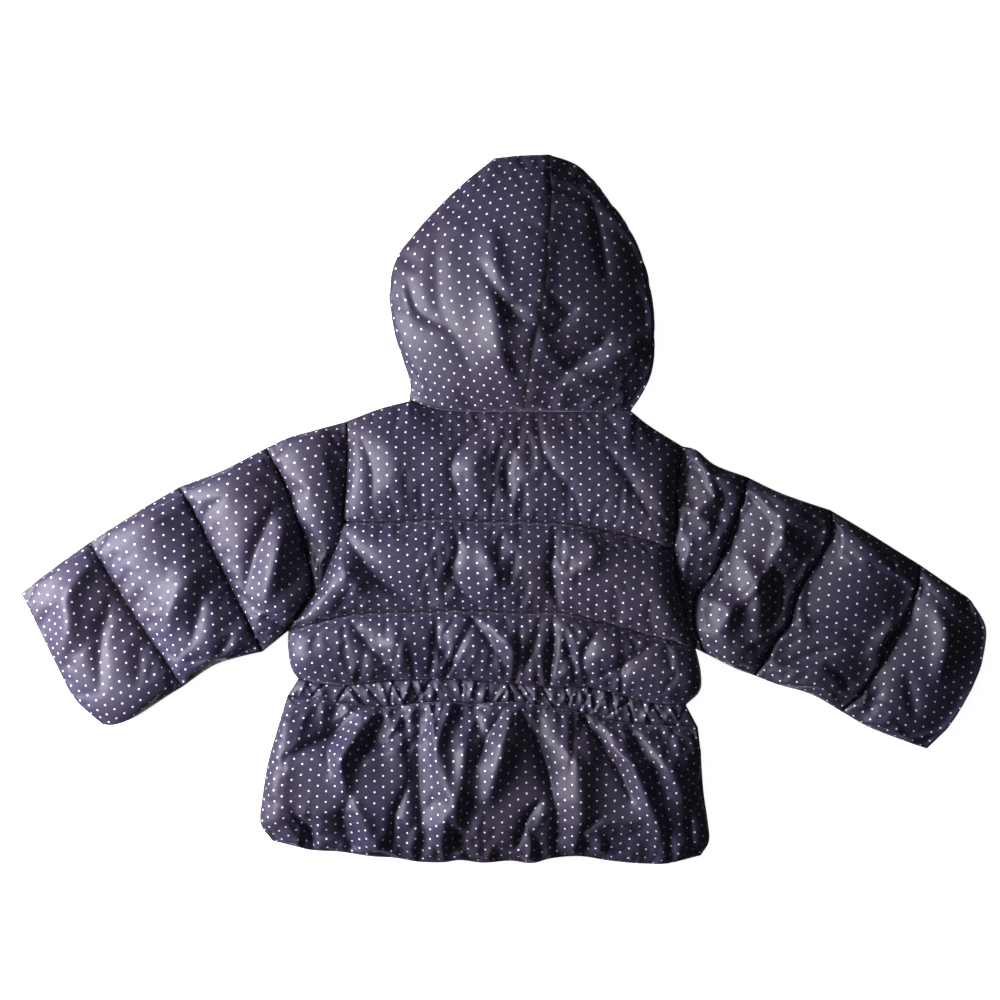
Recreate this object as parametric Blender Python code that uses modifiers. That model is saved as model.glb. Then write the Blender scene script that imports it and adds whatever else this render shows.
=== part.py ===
"""Child's hooded puffer coat, closed and laid flat on its front with the hood up.

Sizes are in millimetres and are turned to metres where a mesh is made. X runs to the right seen from
above, Y to the crown of the hood and Z up. The back layer of the coat lies on the front layer at one
level, the parting plane, where every side seam runs.
"""

import bmesh
import bpy
import numpy as np
from mathutils import Vector

MM = 0.001
WELD = 1e-7

# Driving dimensions, in mm
PARTING = 16.0  # level on which the back layer lies on the front layer
LAYER_GAP = 0.3
SEAM_WALL = 2.4  # a panel's thickness at its seams
SEAM_GAP = 0.4
ARMHOLE_GAP = 0.25  # added at the armholes, where the two pieces have different rows
QUILT_WALL = 5.5  # a panel's thickness on a quilting line
SIDE_ROUNDING = 22.0
REST_ROUNDING = 20.0
BODICE_PUFFS = (15.5, 15.5, 16.5, 15.5, 13.0)
SLEEVE_PUFFS = (13.0, 13.0, 16.0, 16.0, 12.5, 11.0)
SKIRT_PUFF = 17.0
SKIRT_TOP_ROUNDING = 34.0
HEM_ROUNDING = 24.0
CASING_PUFF = 3.2
CASING_ROUNDING = 9.0
CASING_REST = 6.0
GATHERS = 30
GATHER_DEPTH = 1.8
SLEEVE_WALL = 2.6  # at the two folded edges of a flattened sleeve
CUFF_WALL = 4.2
MOUTH_HALF = 1.7  # half the height to which the cuff stands open
FRONT_COLUMNS = 16
HOOD_RISE = 34.0
HOOD_RISE_OVER = 90.0  # distance from the neck seam over which the hood rises
HOOD_EDGE_LEVEL = 25.0  # level at which its wall turns under
HOOD_WALL = 8.0
HOOD_OPEN_FROM = 86.5
HOOD_OPEN_OVER = 56.0
HOOD_TURN = 20.0  # radius where the wall turns under
HOOD_MIDDLE = (25.0, 165.0)
ZIP_EDGE = 7.0  # from the zip line to the edge of a front panel
ZIP_EDGE_LEVEL = 9.0
ZIP_EDGE_ROUNDING = 9.0
TAPE_ACROSS = (3.3, 6.7)
TAPE_LEVELS = (9.6, 10.8)
CHAIN_ACROSS = (-3.0, 3.0)
CHAIN_LEVELS = (7.0, 9.4)
CHAIN_TOP = 43.0
SLIDER_AT = 40.0  # place of the slider up the coat
EYE_LEVEL = 4.2  # level of the axis on which the pull tab swings
EYE_HALF = 1.2  # half the height of the window in the slider's arch
TAB_HALF = 0.7  # half the thickness of the pull tab
WINDOW_CENTRE = Vector((0.0, -2.85, -TAB_HALF))

# Seam lines seen from above: each is a row of (x, y) from its first end to its last
NECK_BACK = ((-75.6, 86.0), (-57.2, 80.4), (-34.8, 77.6), (15.6, 77.6), (79.6, 77.4), (102.0, 78.0))
NECK_FRONT_LEFT = ((-75.6, 86.0), (-62.8, 70.8), (-34.8, 60.4), (12.4, 55.6))
NECK_FRONT_RIGHT = ((102.0, 78.0), (89.2, 65.2), (61.2, 58.0), (20.4, 55.6))
SHOULDER_LEFT = ((-125.2, 70.0), (-98.8, 80.0), (-75.6, 86.0))
SHOULDER_RIGHT = ((102.0, 78.0), (117.2, 66.0), (142.8, 50.0))
QUILT_UPPER = (
    (-128.4, -10.8), (-89.2, -10.8), (-49.2, -8.4), (-23.6, -10.0), (20.4, -10.8),
    (50.0, -12.4), (80.4, -18.0), (110.0, -24.4), (136.4, -33.2),
)
QUILT_LOWER = (
    (-172.4, -98.0), (-138.8, -88.4), (-109.2, -83.6), (-53.2, -82.0), (-29.2, -81.2), (16.4, -83.6),
    (44.4, -83.6), (70.0, -89.2), (99.6, -97.2), (130.0, -105.2), (154.0, -112.4),
)
ARMHOLE_LEFT_UPPER = ((-125.2, 70.0), (-125.2, 34.8), (-128.4, -10.8))
ARMHOLE_LEFT_LOWER = ((-128.4, -10.8), (-137.2, -38.0), (-150.8, -66.0), (-172.4, -98.0))
ARMHOLE_RIGHT_UPPER = ((142.8, 50.0), (138.4, 18.8), (136.4, -33.2))
ARMHOLE_RIGHT_LOWER = ((136.4, -33.2), (138.0, -56.0), (144.4, -84.0), (154.0, -112.4))
SIDE_LEFT = ((-172.4, -98.0), (-172.4, -113.2), (-170.0, -127.6), (-164.4, -136.4))
SIDE_RIGHT = ((154.0, -112.4), (158.0, -130.8), (157.2, -146.0), (146.0, -157.2))
CASING_UPPER = (
    (-164.4, -136.4), (-145.2, -140.0), (-123.6, -140.8), (-90.0, -137.2), (-58.8, -136.4),
    (-34.8, -136.4), (-3.6, -138.8), (37.2, -142.8), (68.4, -142.8), (97.2, -150.0),
    (121.2, -155.6), (146.0, -157.2),
)
CASING_LOWER = (
    (-173.2, -150.4), (-154.8, -152.4), (-123.6, -156.4), (-97.2, -158.8), (-78.0, -156.8),
    (-49.2, -154.8), (-25.2, -156.4), (6.0, -155.2), (33.2, -158.4), (58.8, -162.8),
    (85.2, -169.6), (116.4, -173.2), (155.6, -175.2),
)
CASING_SIDE_LEFT = ((-164.4, -136.4), (-173.2, -150.4))
CASING_SIDE_RIGHT = ((146.0, -157.2), (155.6, -175.2))
SKIRT_SIDE_LEFT = (
    (-173.2, -150.4), (-181.2, -177.2), (-188.4, -202.8), (-193.2, -232.4), (-194.4, -252.0), (-185.0, -266.0),
)
SKIRT_SIDE_RIGHT = (
    (155.6, -175.2), (158.0, -196.4), (160.0, -225.2), (163.4, -249.2), (164.6, -266.0), (158.0, -277.6),
)
HEM = (
    (-185.0, -266.0), (-154.8, -273.2), (-130.8, -274.8), (-106.8, -278.4), (-87.6, -279.6),
    (-68.4, -282.8), (-49.2, -283.4), (-34.8, -281.6), (-15.6, -283.6), (5.2, -282.0),
    (22.8, -284.0), (38.8, -280.0), (61.2, -278.4), (85.2, -282.0), (109.2, -284.2),
    (133.2, -283.6), (158.0, -277.6),
)
ZIP_TOP = (16.4, 55.6)
ZIP_FOOT = (-14.0, -281.0)
ZIP_CLEAR = 1.5  # nearest that a point of a panel's line comes to its corner at the zip
CASING_LOWER_AT_ZIP = -155.6

# Sleeves: lines across from the shoulder side to the underarm side, and the edges between them
SLEEVE_LEFT_LINES = (
    ((-190.0, 48.8), (-171.6, 10.0), (-159.6, -29.2), (-154.6, -64.0), (-166.0, -84.0), (-180.0, -104.0)),
    ((-259.6, 17.6), (-242.8, -13.2), (-225.2, -49.2), (-207.6, -84.4), (-193.2, -114.8)),
    ((-331.6, -26.8), (-305.5, -70.0), (-287.6, -97.2), (-271.6, -120.4), (-257.2, -142.8)),
    ((-386.0, -67.6), (-375.2, -89.2), (-357.2, -126.0), (-342.8, -152.4), (-320.4, -173.2)),
)
SLEEVE_LEFT_TOP = (
    ((-125.2, 70.0), (-154.8, 62.0), (-171.6, 57.2), (-190.0, 48.8)),
    ((-190.0, 48.8), (-225.2, 30.8), (-259.6, 17.6)),
    ((-259.6, 17.6), (-287.6, 1.2), (-331.6, -26.8)),
    ((-331.6, -26.8), (-359.6, -46.8), (-386.0, -67.6)),
)
SLEEVE_LEFT_UNDER = (
    ((-172.4, -98.0), (-180.0, -104.0)),
    ((-180.0, -104.0), (-193.2, -114.8)),
    ((-193.2, -114.8), (-216.4, -120.4), (-234.0, -126.8), (-257.2, -142.8)),
    ((-257.2, -142.8), (-270.0, -150.8), (-294.8, -166.8), (-310.8, -173.0), (-320.4, -173.2)),
)
SLEEVE_RIGHT_LINES = (
    ((195.6, 25.2), (188.4, 2.0), (177.2, -29.2), (166.0, -54.8), (155.0, -72.0), (153.6, -92.0), (162.0, -116.4)),
    ((262.0, -1.2), (261.2, -19.6), (252.4, -38.0), (238.0, -63.6), (228.4, -89.2), (217.2, -106.0), (201.2, -134.0)),
    ((334.0, -45.2), (329.2, -62.0), (320.4, -84.4), (307.6, -107.6), (296.4, -128.4), (283.6, -148.4), (270.8, -162.8)),
    ((374.0, -73.2), (386.0, -96.0), (381.2, -122.8), (371.6, -146.8), (357.2, -172.4), (338.8, -192.4)),
)
SLEEVE_RIGHT_TOP = (
    ((142.8, 50.0), (154.8, 46.8), (170.0, 34.8), (195.6, 25.2)),
    ((195.6, 25.2), (218.8, 14.0), (238.0, 6.8), (262.0, -1.2)),
    ((262.0, -1.2), (289.2, -17.2), (314.8, -33.2), (334.0, -45.2)),
    ((334.0, -45.2), (357.2, -61.2), (374.0, -73.2)),
)
SLEEVE_RIGHT_UNDER = (
    ((154.0, -112.4), (162.0, -116.4)),
    ((162.0, -116.4), (185.2, -128.0), (201.2, -134.0)),
    ((201.2, -134.0), (219.6, -141.2), (246.8, -149.2), (270.8, -162.8)),
    ((270.8, -162.8), (293.2, -175.6), (324.4, -187.6), (338.8, -192.4)),
)

# Hood: the crown seam from the neck to the top edge, the outline of each side and the edge round the face
CROWN_SEAM = (
    (15.6, 77.6), (21.2, 118.0), (28.4, 151.6), (33.2, 183.6), (34.4, 200.4), (34.4, 213.2),
    (36.8, 234.8), (37.0, 250.8), (35.8, 264.4), (36.4, 282.8),
)
HOOD_SIDE_LEFT = (
    (-75.6, 86.0), (-74.8, 100.4), (-80.4, 118.8), (-87.6, 142.8), (-90.8, 173.2), (-85.2, 198.8),
    (-68.4, 222.8), (-46.0, 246.8), (-26.0, 264.8), (-6.8, 280.0),
)
HOOD_SIDE_RIGHT = (
    (102.0, 78.0), (111.6, 94.0), (118.0, 110.0), (120.0, 130.8), (118.8, 158.8), (112.4, 190.8),
    (100.4, 221.2), (83.6, 246.8), (71.6, 262.8),
)
HOOD_TOP_LEFT = ((-6.8, 280.0), (13.2, 282.0), (36.4, 282.8))
HOOD_TOP_RIGHT = ((71.6, 262.8), (57.2, 274.8), (36.4, 282.8))
FACE_LEFT = (
    (12.4, 55.6), (-16.0, 100.0), (-30.0, 142.8), (-27.0, 190.0), (-14.0, 225.0), (6.0, 246.0), (36.4, 255.0),
)
FACE_RIGHT = (
    (20.4, 55.6), (56.0, 98.0), (80.0, 142.8), (83.0, 190.0), (75.0, 222.0), (58.0, 245.0), (36.4, 255.0),
)

# Folds: height in mm, below zero for a trough, half width in mm, line along the fold
BODICE_FOLDS = (
    (-3, 5, ((28, 75), (30, 51), (40, 31), (56, 11), (60, -7))),
    (-4, 5.5, ((-6, 73), (-25, 59), (-41, 35), (-37, 13), (-28, -3))),
    (3.5, 7, ((8, 71), (-11, 55), (-24, 35), (-20, 13), (-14, -1))),
    (3, 9, ((-99, 59), (-87, 39), (-85, -3))),
    (-3, 6, ((-112, 55), (-104, 31), (-104, 3))),
    (-3, 5.5, ((16, 55), (2, 35), (4, 11))),
    (-4.5, 6.5, ((82, 47), (100, 21), (116, -6), (122, -17))),
    (-2.5, 4.5, ((110, 9), (134, -16))),
    (-6.5, 7, ((-127, -19), (-115, -36), (-99, -56), (-83, -68), (-59, -78))),
    (4, 6, ((-131, -38), (-121, -59), (-107, -74))),
    (-4.5, 6, ((-40, -12), (-36, -32), (-40, -51), (-32, -67), (-21, -80))),
    (3.5, 6, ((-17, -29), (-10, -48), (-8, -59), (-12, -71))),
    (-4.5, 5.5, ((40, -16), (40, -36), (38, -52), (44, -84))),
    (3.5, 6.5, ((55, -17), (70, -29), (68, -43), (54, -54))),
    (-4, 6, ((-121, -91), (-105, -110), (-92, -124), (-95, -134))),
    (3, 7, ((-89, -92), (-83, -113), (-84, -136))),
    (-3, 5.5, ((-53, -88), (-52, -108), (-41, -124))),
    (-4, 6, ((-28, -84), (-12, -104), (0, -122))),
    (3.5, 5.5, ((-6, -97), (7, -113), (8, -128))),
    (-3, 5.5, ((30, -90), (24, -109), (16, -128))),
    (-5, 5, ((40, -86), (39, -113), (36, -138))),
    (-3.5, 4.5, ((48, -102), (55, -121), (58, -138))),
    (-4, 5.5, ((76, -96), (64, -118), (68, -140))),
    (-3.5, 5.5, ((122, -106), (101, -121), (76, -136))),
)
SKIRT_FOLDS = (
    (-4.5, 7, ((-121, -162), (-136, -178), (-155, -190), (-171, -198))),
    (6.5, 6.5, ((-104, -161), (-114, -175), (-125, -191), (-128, -203), (-125, -220))),
    (-4, 5.5, ((-127, -172), (-138, -188), (-136, -208))),
    (-4, 5, ((-105, -172), (-104, -184), (-112, -200))),
    (3, 5, ((-82, -165), (-92, -175), (-92, -185))),
    (-5, 9, ((-68, -164), (-67, -201), (-66, -233), (-64, -269))),
    (4.5, 6, ((-54, -171), (-51, -191), (-44, -223), (-41, -234), (-48, -251), (-50, -269))),
    (4.5, 6, ((-20, -165), (-31, -180), (-31, -197), (-35, -232), (-38, -256))),
    (-5.5, 6, ((-39, -254), (-34, -269), (-29, -280))),
    (-4, 5, ((2, -160), (-11, -181), (-22, -205))),
    (6.5, 8, ((7, -163), (-3, -198), (-12, -229))),
    (-7, 8, ((18, -171), (28, -189), (36, -213), (40, -233))),
    (5, 9, ((51, -174), (56, -198), (60, -228), (61, -257))),
    (-6.5, 6, ((60, -163), (68, -173), (81, -193), (92, -209), (101, -229))),
    (5.5, 7, ((76, -168), (100, -203), (113, -232), (122, -255), (124, -273))),
    (-4.5, 6, ((102, -177), (113, -199), (128, -225))),
    (4.5, 7, ((113, -180), (128, -205), (141, -229))),
    (3, 8, ((-171, -163), (-178, -193), (-181, -221), (-179, -245))),
    (-4, 5, ((-165, -240), (-158, -254), (-152, -270))),
    (3.5, 6, ((-117, -235), (-108, -258), (-95, -278))),
    (-3.5, 5.5, ((-123, -233), (-127, -248), (-124, -272))),
    (-3.5, 5, ((-76, -220), (-86, -246), (-89, -273))),
    (-4.5, 5, ((28, -235), (18, -249), (10, -273))),
    (-5, 7, ((42, -236), (43, -257), (42, -276))),
    (-4, 5, ((76, -246), (64, -257), (64, -265), (68, -277))),
    (-3.5, 5, ((149, -209), (146, -241), (149, -269))),
)
SLEEVE_LEFT_FOLDS = (
    (5, 7, ((-171, -6), (-180, -38), (-191, -73))),
    (-5.5, 6, ((-183, 0), (-198, -35), (-205, -63))),
    (-3, 4.5, ((-157, -45), (-168, -56), (-179, -63))),
    (-3, 4.5, ((-193, -83), (-182, -89), (-173, -93))),
    (4.5, 8, ((-234, -42), (-259, -68), (-268, -99))),
    (-3.5, 5.5, ((-240, -73), (-247, -103))),
    (-2.5, 4.5, ((-254, -121), (-234, -118))),
    (-3, 4.5, ((-216, -99), (-228, -117))),
    (4.5, 7, ((-329, -45), (-344, -69), (-344, -93), (-353, -120))),
    (-4, 6, ((-313, -72), (-320, -109), (-320, -140))),
    (-2.5, 5, ((-289, -113), (-291, -137))),
)
SLEEVE_RIGHT_FOLDS = (
    (-3.5, 6, ((168, 24), (175, 7), (167, -21))),
    (4.5, 7, ((190, -40), (203, -69), (204, -97))),
    (3.5, 6, ((221, -20), (234, -40))),
    (3.5, 6, ((177, -69), (180, -93))),
    (-4, 6, ((213, -41), (220, -65), (215, -91))),
    (-3.5, 6, ((223, -125), (241, -118), (265, -112))),
    (-3.5, 6, ((233, -97), (256, -93), (292, -100))),
    (-2.5, 4.5, ((265, -131), (275, -145))),
    (-3, 5, ((327, -76), (321, -97))),
    (4.5, 7, ((345, -83), (351, -103), (346, -132))),
    (-3, 5, ((300, -145), (290, -163))),
    (-3, 5, ((321, -131), (327, -165))),
)
HOOD_LEFT_FOLDS = (
    (-5, 6, ((-14, 189), (-8, 177), (-1, 165), (4, 156), (13, 150), (21, 147))),
    (-4, 8, ((-51, 216), (-52, 196), (-50, 163), (-42, 146), (-31, 124), (-16, 90))),
    (-2.5, 6, ((-74, 178), (-66, 157), (-44, 143))),
    (4, 8, ((-9, 213), (-5, 163), (-5, 135), (3, 107), (8, 87))),
    (-3, 5, ((4, 124), (10, 112), (16, 101))),
    (-2.5, 4.5, ((-67, 103), (-56, 93), (-44, 85))),
    (-2.5, 3.5, ((8, 158), (12, 163), (20, 165), (30, 164))),
)
HOOD_RIGHT_FOLDS = (
    (-5, 7, ((81, 135), (76, 128), (60, 116), (47, 104), (34, 93), (25, 84))),
    (4.5, 9, ((103, 127), (84, 111), (63, 96), (47, 87))),
    (-3, 5, ((57, 157), (47, 146), (37, 136))),
    (-2.5, 3.5, ((34, 165), (42, 162), (49, 158), (56, 157))),
    (-3, 6, ((69, 243), (77, 215), (82, 183))),
)

# The two halves: the wearer's left lies at negative X
HALVES = {
    "left": {
        "side": -1, "neck_front": NECK_FRONT_LEFT, "shoulder": SHOULDER_LEFT,
        "armhole": (ARMHOLE_LEFT_UPPER, ARMHOLE_LEFT_LOWER), "side_seam": SIDE_LEFT,
        "casing_side": CASING_SIDE_LEFT, "casing_at_zip": -139.0, "skirt_side": SKIRT_SIDE_LEFT,
        "sleeve_lines": SLEEVE_LEFT_LINES, "sleeve_top": SLEEVE_LEFT_TOP, "sleeve_under": SLEEVE_LEFT_UNDER,
        "sleeve_folds": SLEEVE_LEFT_FOLDS, "hood_outline": HOOD_SIDE_LEFT, "hood_top": HOOD_TOP_LEFT,
        "face": FACE_LEFT, "hood_folds": HOOD_LEFT_FOLDS,
    },
    "right": {
        "side": 1, "neck_front": NECK_FRONT_RIGHT, "shoulder": SHOULDER_RIGHT,
        "armhole": (ARMHOLE_RIGHT_UPPER, ARMHOLE_RIGHT_LOWER), "side_seam": SIDE_RIGHT,
        "casing_side": CASING_SIDE_RIGHT, "casing_at_zip": -141.0, "skirt_side": SKIRT_SIDE_RIGHT,
        "sleeve_lines": SLEEVE_RIGHT_LINES, "sleeve_top": SLEEVE_RIGHT_TOP, "sleeve_under": SLEEVE_RIGHT_UNDER,
        "sleeve_folds": SLEEVE_RIGHT_FOLDS, "hood_outline": HOOD_SIDE_RIGHT, "hood_top": HOOD_TOP_RIGHT,
        "face": FACE_RIGHT, "hood_folds": HOOD_RIGHT_FOLDS,
    },
}

# Materials: colour, roughness, metallic
MATERIALS = {
    "shell_fabric": ((0.035, 0.035, 0.075), 0.5, 0.0),
    "zip_tape_fabric": ((0.02, 0.02, 0.045), 0.8, 0.0),
    "zip_teeth_plastic": ((0.025, 0.025, 0.05), 0.4, 0.0),
    "zip_metal": ((0.42, 0.42, 0.44), 0.3, 1.0),
}


def dense_line(points):
    """The line through the points, smoothed, with many points."""
    points = np.array(points, float)
    if len(points) < 3:
        return points
    padded = np.vstack([2 * points[0] - points[1], points, 2 * points[-1] - points[-2]])
    steps = np.linspace(0, 1, 12, endpoint=False)[:, None]
    pieces = []
    for before, start, end, after in zip(padded, padded[1:], padded[2:], padded[3:]):
        slope = (end - before) / 2
        next_slope = (after - start) / 2
        pieces.append(
            (2 * steps**3 - 3 * steps**2 + 1) * start
            + (steps**3 - 2 * steps**2 + steps) * slope
            + (3 * steps**2 - 2 * steps**3) * end
            + (steps**3 - steps**2) * next_slope
        )
    return np.vstack([*pieces, points[-1:]])


def length_shares(line):
    """How far along a line each of its points lies, from 0 to 1."""
    lengths = np.concatenate([[0], np.cumsum(np.linalg.norm(np.diff(line, axis=0), axis=1))])
    return lengths / lengths[-1]


def along(line, fractions):
    """Points at the given fractions of the length of a dense line."""
    shares = length_shares(line)
    return np.stack([np.interp(fractions, shares, line[:, 0]), np.interp(fractions, shares, line[:, 1])], axis=-1)


def spread(count, crowding):
    """Fractions from 0 to 1, closer together towards both ends as crowding nears 1."""
    even = np.linspace(0, 1, count + 1)
    return even - crowding * np.sin(2 * np.pi * even) / (2 * np.pi)


def arched(count):
    """Fractions from 0 to 1 spaced as the feet of even steps round a half circle."""
    return (1 - np.cos(np.linspace(0, np.pi, count + 1))) / 2


def coons(first, last, left, right, across, down):
    """Plan of a panel from its first and last rows and its two sides, all sampled at the given fractions."""
    across = np.asarray(across)[None, :, None]
    down = np.asarray(down)[:, None, None]
    rows = (1 - down) * first[None] + down * last[None]
    straight_left = (1 - down[:, 0]) * first[0] + down[:, 0] * last[0]
    straight_right = (1 - down[:, 0]) * first[-1] + down[:, 0] * last[-1]
    sides = (1 - across) * (left - straight_left)[:, None] + across * (right - straight_right)[:, None]
    return rows + sides


def border_of(grid):
    """The border points of a grid in order, once round."""
    return np.vstack([grid[0, :-1], grid[:-1, -1], grid[-1, :0:-1], grid[:0:-1, 0]])


def set_border(grid, loop):
    """Puts a loop made by border_of back on the grid."""
    rows, columns = grid.shape[:2]
    splits = np.cumsum([columns - 1, rows - 1, columns - 1])
    top, right, bottom, left = np.split(loop, splits)
    grid[0, :-1] = top
    grid[:-1, -1] = right
    grid[-1, :0:-1] = bottom
    grid[:0:-1, 0] = left


def moved_in(loop, distance):
    """A closed loop in plan with each side moved inward."""
    before = loop - np.roll(loop, 1, axis=0)
    after = np.roll(loop, -1, axis=0) - loop
    before /= np.linalg.norm(before, axis=1, keepdims=True)
    after /= np.linalg.norm(after, axis=1, keepdims=True)
    area = np.sum(loop[:, 0] * np.roll(loop[:, 1], -1) - np.roll(loop[:, 0], -1) * loop[:, 1])
    turn = np.sign(area)
    normal = np.stack([-(before + after)[:, 1], (before + after)[:, 0]], axis=1) * turn
    normal /= np.linalg.norm(normal, axis=1, keepdims=True)
    own = np.stack([-before[:, 1], before[:, 0]], axis=1) * turn
    cosine = np.clip(np.sum(normal * own, axis=1), 0.45, 1)
    return loop + normal * (distance / cosine)[:, None]


def gap_round(plan, armhole_gap=0.0):
    """The plan with half a seam gap taken off all round, and more off its first row where it meets an armhole."""
    plan = plan.copy()
    distance = np.full(len(border_of(plan)), SEAM_GAP / 2)
    distance[: plan.shape[1]] += armhole_gap
    set_border(plan, moved_in(border_of(plan), distance))
    return plan


def distance_to(plan, line):
    """Distance of each plan point from a line of points."""
    line = np.asarray(line, float)
    best = np.full(plan.shape[:-1], np.inf)
    for start, end in zip(line, line[1:]):
        run = end - start
        share = np.clip(np.sum((plan - start) * run, axis=-1) / max(run @ run, 1e-9), 0, 1)
        best = np.minimum(best, np.linalg.norm(plan - (start + share[..., None] * run), axis=-1))
    return best


def rounding(distance, radius):
    """Height from 0 to 1 of a quarter-round edge at a distance from it."""
    return np.sqrt(1 - (1 - np.clip(distance / radius, 0, 1)) ** 2)


def ease(value):
    """0 to 1 with a soft start and end."""
    value = np.clip(value, 0, 1)
    return value * value * (3 - 2 * value)


def folds_on(plan, folds, free):
    """Height added by a table of folds, fading where free nears 0."""
    total = np.zeros(plan.shape[:-1])
    for height, half_width, line in folds:
        reach = distance_to(plan, dense_line(line)) / half_width
        total += height * np.exp(-(reach**2))
    return total * free


def with_height(plan, height):
    """Plan and heights joined as points."""
    return np.concatenate([plan, np.asarray(height, float)[..., None]], axis=-1)


def quilted_plan(lines, lefts, rights, across, steps):
    """Plan rows of a panel between its quilting lines, and each row's place in its channel.

    Returns the plan, the channel number and the arch of each row, and the width of its channel.
    """
    plans, arches, bases, widths = [], [], [], []
    for index, (left, right) in enumerate(zip(lefts, rights)):
        down = arched(steps)
        plan = coons(
            lines[index], lines[index + 1],
            along(dense_line(left), down), along(dense_line(right), down), across, down,
        )
        span = np.linalg.norm(lines[index + 1] - lines[index], axis=1)
        skip = 1 if index else 0
        plans.append(plan[skip:])
        arches.append(np.sin(np.linspace(0, np.pi, steps + 1))[skip:])
        bases.append(index + down[skip:])
        widths.append(np.tile(span, (steps + 1 - skip, 1)))
    return np.vstack(plans), np.concatenate(arches), np.concatenate(bases), np.vstack(widths)


def new_object(name, material, bm):
    """Closes a mesh into an object in the coat's collection."""
    bmesh.ops.remove_doubles(bm, verts=bm.verts, dist=WELD)
    bmesh.ops.triangulate(bm, faces=[face for face in bm.faces if len(face.verts) > 4])
    bmesh.ops.recalc_face_normals(bm, faces=bm.faces)
    mesh = bpy.data.meshes.new(name)
    bm.to_mesh(mesh)
    bm.free()
    made = bpy.data.objects.new(name, mesh)
    made.data.materials.append(materials[material])
    coat.objects.link(made)
    return made


def add_sheet(bm, points):
    """A grid of faces with its corners at the given rows of points."""
    rows, columns = points.shape[:2]
    made = bmesh.ops.create_grid(bm, x_segments=columns - 1, y_segments=rows - 1, size=1.0)
    for vert in made["verts"]:
        column = round((vert.co.x + 1) / 2 * (columns - 1))
        row = round((vert.co.y + 1) / 2 * (rows - 1))
        vert.co = points[row, column] * MM


def padded_panel(name, outer, plane):
    """A padded panel: its shaped outer face, an upright edge at the seams and a plain inside on a plane."""
    bm = bmesh.new()
    add_sheet(bm, outer)
    edge = [side for side in bm.edges if side.is_boundary]
    made = bmesh.ops.extrude_edge_only(bm, edges=edge)["geom"]
    for vert in made:
        if isinstance(vert, bmesh.types.BMVert):
            vert.co.z = plane * MM
    inner = [side for side in bm.edges if side.is_boundary]
    bmesh.ops.edgeloop_fill(bm, edges=inner)
    return new_object(name, "shell_fabric", bm)


def closed_sheets(name, sheets, material="shell_fabric"):
    """A solid from sheets that share their edge points."""
    bm = bmesh.new()
    for points in sheets:
        add_sheet(bm, points)
    return new_object(name, material, bm)


def side_distance(plan):
    """Distance from the two side borders of a panel."""
    return np.minimum(distance_to(plan, plan[:, 0]), distance_to(plan, plan[:, -1]))


def back_bodice():
    columns, steps = (9, 28, 9), 9
    even = [np.linspace(0, 1, count + 1) for count in columns]
    top = np.vstack([
        along(dense_line(SHOULDER_LEFT), even[0])[:-1],
        along(dense_line(NECK_BACK), even[1])[:-1],
        along(dense_line(SHOULDER_RIGHT), even[2]),
    ])
    across = length_shares(top)
    lines = [top] + [along(dense_line(line), across) for line in (QUILT_UPPER, QUILT_LOWER, CASING_UPPER)]
    plan, arch, base, width = quilted_plan(
        lines,
        (ARMHOLE_LEFT_UPPER, ARMHOLE_LEFT_LOWER, SIDE_LEFT),
        (ARMHOLE_RIGHT_UPPER, ARMHOLE_RIGHT_LOWER, SIDE_RIGHT),
        across, steps,
    )
    plan = gap_round(plan)
    puff = np.interp(base, (0, 0.5, 1.5, 2.5, 3), BODICE_PUFFS)
    raised = np.interp(base, (0, 1, 2, 3), (0, QUILT_WALL - SEAM_WALL, QUILT_WALL - SEAM_WALL, 1.6))
    body = raised[:, None] + (puff * arch)[:, None] * np.minimum(1, width / 45) ** 0.7
    soft = np.clip(arch, 0, 1)[:, None] ** 0.6
    edge = rounding(side_distance(plan), SIDE_ROUNDING)
    height = SEAM_WALL + edge * np.maximum(body + folds_on(plan, BODICE_FOLDS, soft), 0.8 * raised[:, None])
    floor = PARTING + LAYER_GAP / 2
    padded_panel("back_bodice", with_height(plan, floor + height), floor)


def gather_wave(across, phase):
    """Gathers of uneven depth along the waist, from 0 to 1 on alternate columns."""
    number = np.arange(len(across))
    uneven = 0.75 + 0.25 * np.sin(number * 1.9 + phase)
    return (number % 2) * uneven


def waist_columns():
    return np.linspace(0, 1, 2 * GATHERS + 1)


def back_waist_casing():
    across = waist_columns()
    down = np.array([0.0, 0.2, 0.5, 0.8, 1.0])
    plan = coons(
        along(dense_line(CASING_UPPER), across), along(dense_line(CASING_LOWER), across),
        along(np.array(CASING_SIDE_LEFT), down), along(np.array(CASING_SIDE_RIGHT), down), across, down,
    )
    plan = gap_round(plan)
    arch = np.sin(np.pi * down)[:, None]
    wave = gather_wave(across, 0.4)[None, :] * GATHER_DEPTH
    edge = rounding(side_distance(plan), CASING_ROUNDING)
    height = SEAM_WALL + edge * (CASING_PUFF * arch**0.7 + wave * (0.45 + 0.55 * arch))
    floor = PARTING + LAYER_GAP / 2
    padded_panel("back_waist_casing", with_height(plan, floor + height), floor)


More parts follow.
